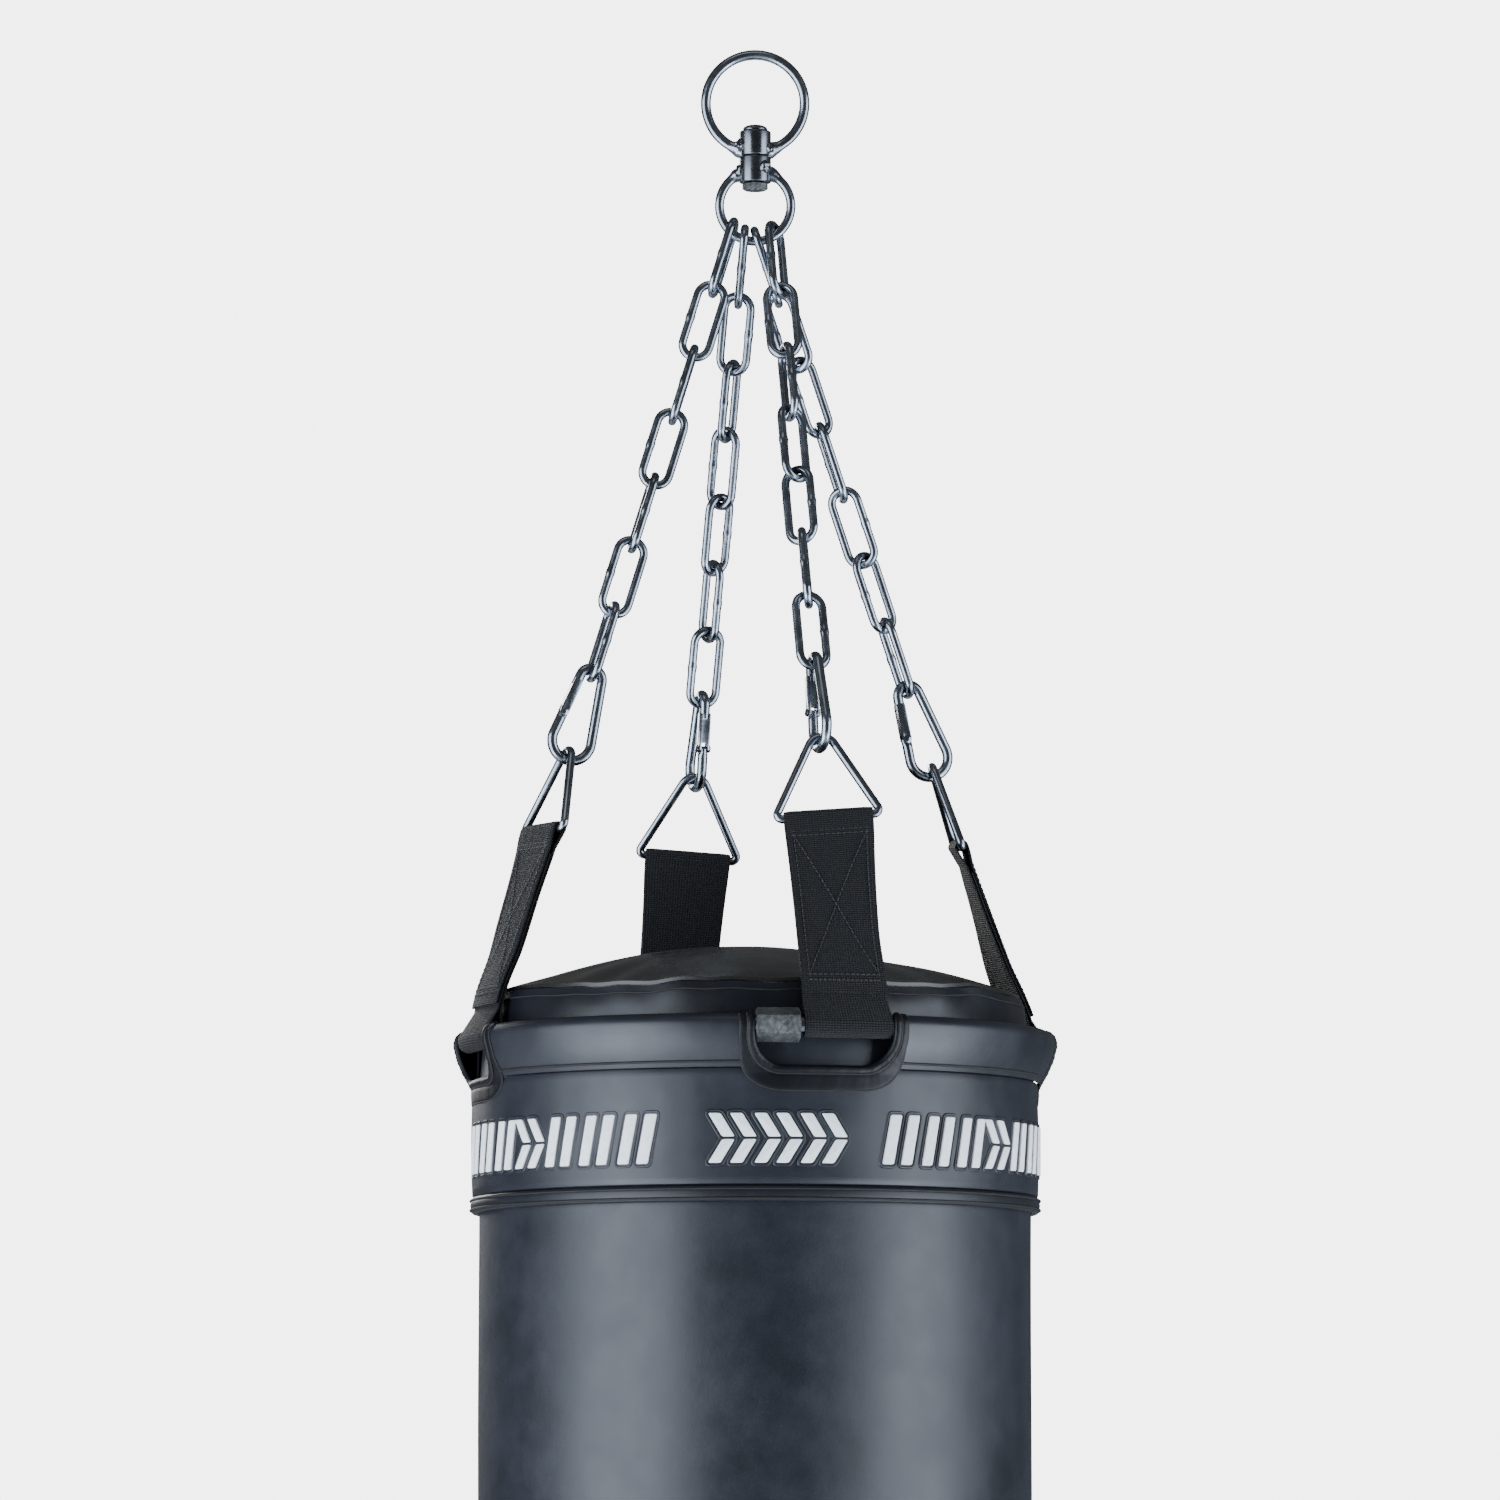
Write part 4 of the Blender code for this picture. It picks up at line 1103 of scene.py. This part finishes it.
bagShape = {"wall": 0.0020, "lump": 0.0011, "bandBulge": 0.0006, "lidLump": 0.0036, "collarWave": 0.0022,
            "lidFall": 1.15, "bottomRound": 0.010, "neck": 0.1572, "bandInside": 0.1598, "collarTop": 0.1540}


# Smooth noise that closes round the bag.
def rounded(angle, height, scale, tall, seed):
    return noise.noise(Vector((math.cos(angle) * scale, math.sin(angle) * scale, height * tall + seed)))


def makeSkin():
    low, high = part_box("body_skin")
    radius, wall = high.x, bagShape["wall"]
    sleeveFoot = hoopZ - rimShape["footDrop"]
    bottomLow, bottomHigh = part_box("bottom_panel")
    corner = bagShape["bottomRound"]
    neck = bagShape["neck"]
    outer = [(neck, high.z), (neck + 0.0008, high.z - 0.010), (radius, sleeveFoot)]
    outer += [(radius, z) for z in np.linspace(sleeveFoot - 0.012, low.z + corner + 0.004, 92)]
    outer += [(radius - corner / 2 * (s / 5) ** 2, low.z + corner * (1 - s / 5)) for s in range(1, 6)]
    inner = [(outer[-1][0] - wall, low.z), (radius - wall, low.z + corner), (radius - wall, sleeveFoot),
             (neck - wall, high.z)]

    def filled(angle, r, z):
        if r < radius - wall / 2 - corner / 2:
            return r, z
        fade = smoothStep(low.z, low.z + 0.05, z) * smoothStep(-0.655, -0.70, z)
        swell = rounded(angle, z, 1.6, 5.0, 3.0) * 0.7 + rounded(angle, z, 3.4, 11.0, 9.0) * 0.35
        return r + fade * bagShape["lump"] * swell, z

    skin = lathe("bagSkin", outer + inner, 192, bagLeather, filled)
    placePiece(skin, "bag", ["body_skin"])

    panel = bottomHigh.x
    profile = [(0.0, bottomHigh.z)] + [(panel * s / 8, bottomHigh.z) for s in range(1, 9)]
    profile += [(panel, bottomLow.z + 0.0003)]
    profile += [(panel * s / 12, bottomLow.z) for s in range(12, 0, -1)] + [(0.0, bottomLow.z)]
    bottom = lathe("bottomPanel", profile, 128, bagLeather, closed=False)
    placePiece(bottom, "bag", ["bottom_panel"])
    welt = [polar(2 * math.pi * s / 200, panel + 0.0016, bottomHigh.z + 0.0008) for s in range(200)]
    piping = tube("bottomPiping", welt, 0.0020, True, pipeLeather, 4)
    attach(piping, "bag")
    ring = [polar(2 * math.pi * s / 240, radius - 0.0001, low.z + corner + 0.006) for s in range(240)]
    seam = sew("bottomStitches", [ring], seamThread, closed=True, pitch=0.0042, length=0.0032,
               thickness=0.0009)
    attach(seam, "bag")


# The padded band under the rim, its seam tape and their stitch rows.
def makeBand():
    low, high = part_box("upper_band")
    outside, inside = high.x, bagShape["bandInside"]
    rows = 16
    bulges = [bagShape["bandBulge"] * math.sin(math.pi * s / rows) for s in range(rows + 1)]
    outer = [(outside - 0.0006, high.z)]
    outer += [(outside + bulge, high.z - 0.0008 - (high.z - low.z - 0.0016) * s / rows)
              for s, bulge in enumerate(bulges)]
    outer += [(outside - 0.0008, low.z)]

    def soft(angle, r, z):
        if r < outside - 0.002:
            return r, z
        fade = smoothStep(low.z, low.z + 0.012, z) * smoothStep(high.z, high.z - 0.010, z)
        dents = 0.0007 * rounded(angle, z, 4.0, 22.0, 5.0) + 0.0003 * rounded(angle, z, 11.0, 40.0, 2.0)
        return r + fade * dents, z

    band = lathe("upperBand", outer + [(inside, low.z), (inside, high.z)], 288, bagLeather, soft)
    placePiece(band, "bag", ["upper_band"])

    low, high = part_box("seam_tape")
    proud = high.x
    profile = [(proud - 0.0012, high.z), (proud - 0.0002, high.z - 0.0008),
               (proud + 0.0003, (low.z + high.z) / 2)]
    profile += [(proud - 0.0002, low.z + 0.0008), (proud - 0.0012, low.z), (inside, low.z), (inside, high.z)]
    tape = lathe("seamTape", profile, 256, tapeLeather)
    placePiece(tape, "bag", ["seam_tape"])
    rows = []
    for height in (high.z - 0.0018, low.z + 0.0018):
        rows.append([polar(2 * math.pi * s / 360, proud + 0.0002, height) for s in range(360)])
    stitches = sew("tapeStitches", rows, hemThread, closed=True, pitch=0.0040, length=0.0030,
                   thickness=0.0011)
    attach(stitches, "bag")

    foot = hoopZ - rimShape["footDrop"] + 0.0030
    paths = []
    clear = math.asin((rimShape["windowHalf"] + pipeShape["width"] * 0.55) / rimShape["footRadius"])
    for side in legNames:
        start = strapBearings[side] + rimShape["offset"] + clear
        end = start + math.pi / 2 - 2 * clear
        paths.append([rimPoint(start + (end - start) * s / 60, 0.0, foot, 0.0002) for s in range(61)])
    seam = sew("rimStitches", paths, hemThread, pitch=0.0040, length=0.0031, thickness=0.0012, slant=0.10)
    attach(seam, "bag")


# The gathered collar and the vinyl lid that bulges over the filling.
def makeTop():
    low, high = collarLow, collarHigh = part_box("top_collar")
    foot, top, wall = high.x, bagShape["collarTop"], bagShape["wall"]
    rows = 14
    outer = []
    for s in range(rows + 1):
        bulge = 0.0012 * math.sin(math.pi * s / rows)
        outer.append((top + (foot - top) * s / rows + bulge, high.z - (high.z - low.z) * s / rows))
    inner = [(foot - wall, low.z), (top - wall, high.z)]

    def wave(angle):
        return rounded(angle, 0, 3.0, 1.0, 2.0) + 0.5 * rounded(angle, 0, 8.0, 1.0, 6.0)

    def gathered(angle, r, z):
        share = smoothStep(collarLow.z, collarHigh.z, z)
        dent = rounded(angle, z, 6.0, 30.0, 4.0)
        return r + 0.0016 * share * dent, z + bagShape["collarWave"] * share * wave(angle)

    collar = lathe("topCollar", outer + inner, 288, shadedCollarLeather, gathered)
    placePiece(collar, "bag", ["top_collar"])
    ring = []
    for s in range(400):
        angle = 2 * math.pi * s / 400
        r, z = gathered(angle, top + 0.00088, high.z - 0.0042)
        ring.append(polar(angle, r + 0.0006, z))
    seam = sew("collarStitches", [ring], paleThread, closed=True, pitch=0.0042, length=0.0031,
               thickness=0.0009, slant=0.12)
    attach(seam, "bag")

    low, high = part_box("top_lid")
    rise = high.z - low.z - wall
    rings = 34
    edge = top - 0.0012

    def crown(radius):
        return rise * (1 - min(radius / top, 1.0) ** 2) ** bagShape["lidFall"]

    upper = [(edge * s / rings, low.z + wall + crown(edge * s / rings)) for s in range(rings + 1)]
    under = [(radius, height - wall) for radius, height in reversed(upper)]

    def packed(angle, r, z):
        share = r / edge
        lift = rounded(angle, 0, 1.3 * share, 1.0, 12.0) * math.sin(math.pi * min(share, 1.0)) ** 0.8
        outerPart = smoothStep(0.45, 0.85, share) * smoothStep(1.0, 0.93, share)
        folds = 0.35 * rounded(angle, 0, 6.5, 1.0, 20.0) * outerPart
        edgeWave = bagShape["collarWave"] * smoothStep(0.80, 1.0, share) * wave(angle)
        return r, z + bagShape["lidLump"] * (lift * 1.3 + folds) + edgeWave

    lid = lathe("topLid", upper + under, 240, lidVinyl, packed, closed=False)
    placePiece(lid, "bag", ["top_lid"])


def packedTextile(name):
    look = Surface(name)
    look.tint(look.noise(160.0, 4.0), [(0.3, (0.25, 0.24, 0.22)), (0.7, (0.42, 0.40, 0.37))])
    look.rough(look.spread(look.noise(300.0), 0.85, 0.98))
    look.bump([(look.noise(220.0, 4.0), 0.5, 0.002)])
    return look.material


makeSkin()
makeBand()
makeTop()
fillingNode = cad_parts["filling"]
fillingNode.data.materials.clear()
fillingNode.data.materials.append(packedTextile("packedTextile"))
print("bag made")


printShape = {"tall": 0.0278, "middle": -0.0397, "slant": 0.20, "stroke": 0.0070, "reach": 0.0080,
              "pitch": math.radians(9.0), "corner": 0.0012,
              "white": [(0.0, -0.0004), (0.0, 0.0006), (-0.00018, 0.0009), (-0.0005, 0.0010)],
              "ridge": [(0.0024, -0.0006), (0.0021, 0.0001), (0.0017, 0.0004), (0.0013, 0.0004),
                        (0.0009, 0.0001), (0.0005, -0.0006)]}


# An anticlockwise outline moved outwards by a margin, its corners mitred.
def grown(outline, margin):
    points = []
    for index, (x, y) in enumerate(outline):
        (px, py), (nx, ny) = outline[index - 1], outline[(index + 1) % len(outline)]
        before, after = Vector((x - px, y - py)).normalized(), Vector((nx - x, ny - y)).normalized()
        normal = Vector((before.y + after.y, -before.x - after.x))
        normal /= max(1 + before.dot(after), 0.35)
        points.append((x + normal.x * margin, y + normal.y * margin))
    return points


# An outline with its corners rounded off.
def softened(outline, radius, steps=4):
    points = []
    for index, corner in enumerate(outline):
        here, back = Vector(corner), Vector(outline[index - 1])
        ahead = Vector(outline[(index + 1) % len(outline)])
        reach = min(radius, (back - here).length * 0.4, (ahead - here).length * 0.4)
        first = here + (back - here).normalized() * reach
        last = here + (ahead - here).normalized() * reach
        for step in range(steps + 1):
            t = step / steps
            points.append(tuple((1 - t) ** 2 * first + 2 * t * (1 - t) * here + t * t * last))
    return points


def slantedBar(middle, stroke, tall, slant):
    half, lean = stroke / 2, slant * tall / 2
    return [(middle - half - lean, -tall / 2), (middle + half - lean, -tall / 2),
            (middle + half + lean, tall / 2), (middle - half + lean, tall / 2)]


# Two slanted halves that meet at a point, with a slit between them.
def arrowhead(middle, stroke, tall, reach):
    half, slit = stroke / 2, 0.0007
    left, tip = middle - reach / 2, middle + reach / 2
    return [[(left - half, -tall / 2), (left + half, -tall / 2), (tip + half, -slit), (tip - half, -slit)],
            [(tip - half, slit), (tip + half, slit), (left + half, tall / 2), (left - half, tall / 2)]]


# Groups of slanted bars and arrowheads in white rubber, each inside a ridge pressed into the leather.
def makeBandShapes():
    tall, stroke = printShape["tall"], printShape["stroke"]
    middle = hoopZ - rimShape["footDrop"] + printShape["middle"]
    base = rimShape["bandRadius"] + bagShape["bandBulge"]
    arrow = [half for place in (-0.0072, 0.0050)
             for half in arrowhead(place, stroke, tall, printShape["reach"])]
    bars = [slantedBar(place, stroke, tall, printShape["slant"]) for place in (-0.0066, 0.0052)]
    long, short = [bars, bars, bars, arrow, bars, bars, bars], [arrow, arrow, arrow]
    groups = [(-82.0, long), (-8.6, short), (25.6, long), (107.0, short), (153.0, long), (234.5, short)]
    white, ridges = [], []

    def stack(outline, facing, rings):
        return [[polar(facing + x / base, base + lift, middle + y) for x, y in grown(outline, margin)]
                for margin, lift in rings]

    for start, marks in groups:
        for index, mark in enumerate(marks):
            facing = math.radians(-90 + start) + printShape["pitch"] * (index + 0.5)
            for outline in mark:
                soft = softened(outline, printShape["corner"])
                white.append(stack(soft, facing, printShape["white"]))
                ridges.append(stack(soft, facing, printShape["ridge"]))
    for name, stacks, capped, material in (("bandShapes", white, True, printWhite),
                                           ("bandShapeRidges", ridges, False, bagLeather)):
        verts, faces = [], []
        for rings in stacks:
            start, count, levels = len(verts), len(rings[0]), len(rings)
            verts += [point for ring in rings for point in ring]
            for level in range(levels - 1 if capped else levels):
                a, b = start + level * count, start + ((level + 1) % levels) * count
                faces += [(a + i, a + (i + 1) % count, b + (i + 1) % count, b + i) for i in range(count)]
            if capped:
                top = start + (levels - 1) * count
                faces += [tuple(range(top, top + count)), tuple(range(start, start + count))[::-1]]
        piece = smoothShade(outward(newPiece(name, verts, faces, material)), 50)
        attach(piece, "bag")


makeBandShapes()
print("band shapes made")


studio = {"floorLevel": -1.95, "floorReach": 30, "backdrop": 5.0, "fill": 0.13,
          "fillColour": (0.92, 0.96, 1.0)}
corners = [(x * studio["floorReach"], y * studio["floorReach"], studio["floorLevel"])
           for x, y in ((-1, -1), (1, -1), (1, 1), (-1, 1))]
floor = newPiece("studioGround", corners, [(0, 1, 2, 3)], studioFloor("paleGround"))
floor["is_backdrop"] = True

world = bpy.data.worlds.new("studio")
bpy.context.scene.world = world
world.use_nodes = True
sky = world.node_tree
backdrop = sky.nodes["Background"]
backdrop.inputs["Color"].default_value = (1.0, 1.0, 1.0, 1.0)
backdrop.inputs["Strength"].default_value = studio["backdrop"]
fillLight = sky.nodes.new("ShaderNodeBackground")
fillLight.inputs["Color"].default_value = (*studio["fillColour"], 1.0)
fillLight.inputs["Strength"].default_value = studio["fill"]
rays, split = sky.nodes.new("ShaderNodeLightPath"), sky.nodes.new("ShaderNodeMixShader")
sky.links.new(rays.outputs["Is Camera Ray"], split.inputs[0])
sky.links.new(fillLight.outputs[0], split.inputs[1])
sky.links.new(backdrop.outputs[0], split.inputs[2])
sky.links.new(split.outputs[0], sky.nodes["World Output"].inputs["Surface"])


# A rectangular light at a bearing in degrees from the front, rightwards, aimed at the bag.
def softbox(name, bearing, reach, height, size, radiance, colour):
    angle = math.radians(bearing - 90)
    light = bpy.data.lights.new(name, "AREA")
    light.shape = "RECTANGLE"
    light.size, light.size_y = size
    light.energy = radiance * math.pi * size[0] * size[1]
    light.color = colour
    lamp = bpy.data.objects.new(name, light)
    bpy.context.scene.collection.objects.link(lamp)
    place = polar(angle, reach, height)
    aim = (Vector((0, 0, -0.75)) - place).to_track_quat("-Z", "Y")
    lamp.matrix_world = Matrix.Translation(place) @ aim.to_matrix().to_4x4()


cool, warm, plain = (0.80, 0.88, 1.0), (1.0, 0.98, 0.95), (1.0, 1.0, 1.0)
softbox("leftBox", -56, 3.0, -0.75, (2.5, 3.2), 7.0, cool)
softbox("rightBox", 69, 3.0, -0.75, (2.2, 3.2), 6.2, cool)
softbox("lowLeftBox", -54, 1.7, -1.72, (1.5, 0.8), 9.0, cool)
softbox("lowRightBox", 62, 1.7, -1.72, (1.5, 0.8), 8.5, cool)
softbox("backBox", 206, 3.4, 0.35, (1.3, 1.2), 9.0, warm)
softbox("topBox", -15, 1.2, 1.9, (1.4, 1.0), 0.8, plain)

cameraShape = {"place": (-0.003, -4.35, -0.8725), "tilt": math.radians(96.1), "focal": 180.5, "sensor": 36.0}
lens = bpy.data.cameras.new("camera")
lens.lens = cameraShape["focal"]
lens.sensor_width = cameraShape["sensor"]
lens.clip_end = 100
eye = bpy.data.objects.new("camera", lens)
bpy.context.scene.collection.objects.link(eye)
eye.matrix_world = Matrix.Translation(cameraShape["place"]) @ Matrix.Rotation(cameraShape["tilt"], 4, "X")
bpy.context.scene.camera = eye
print("light and camera placed")


{"cad": [list(corner) for corner in cadBox], "built": [list(corner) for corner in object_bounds()]}
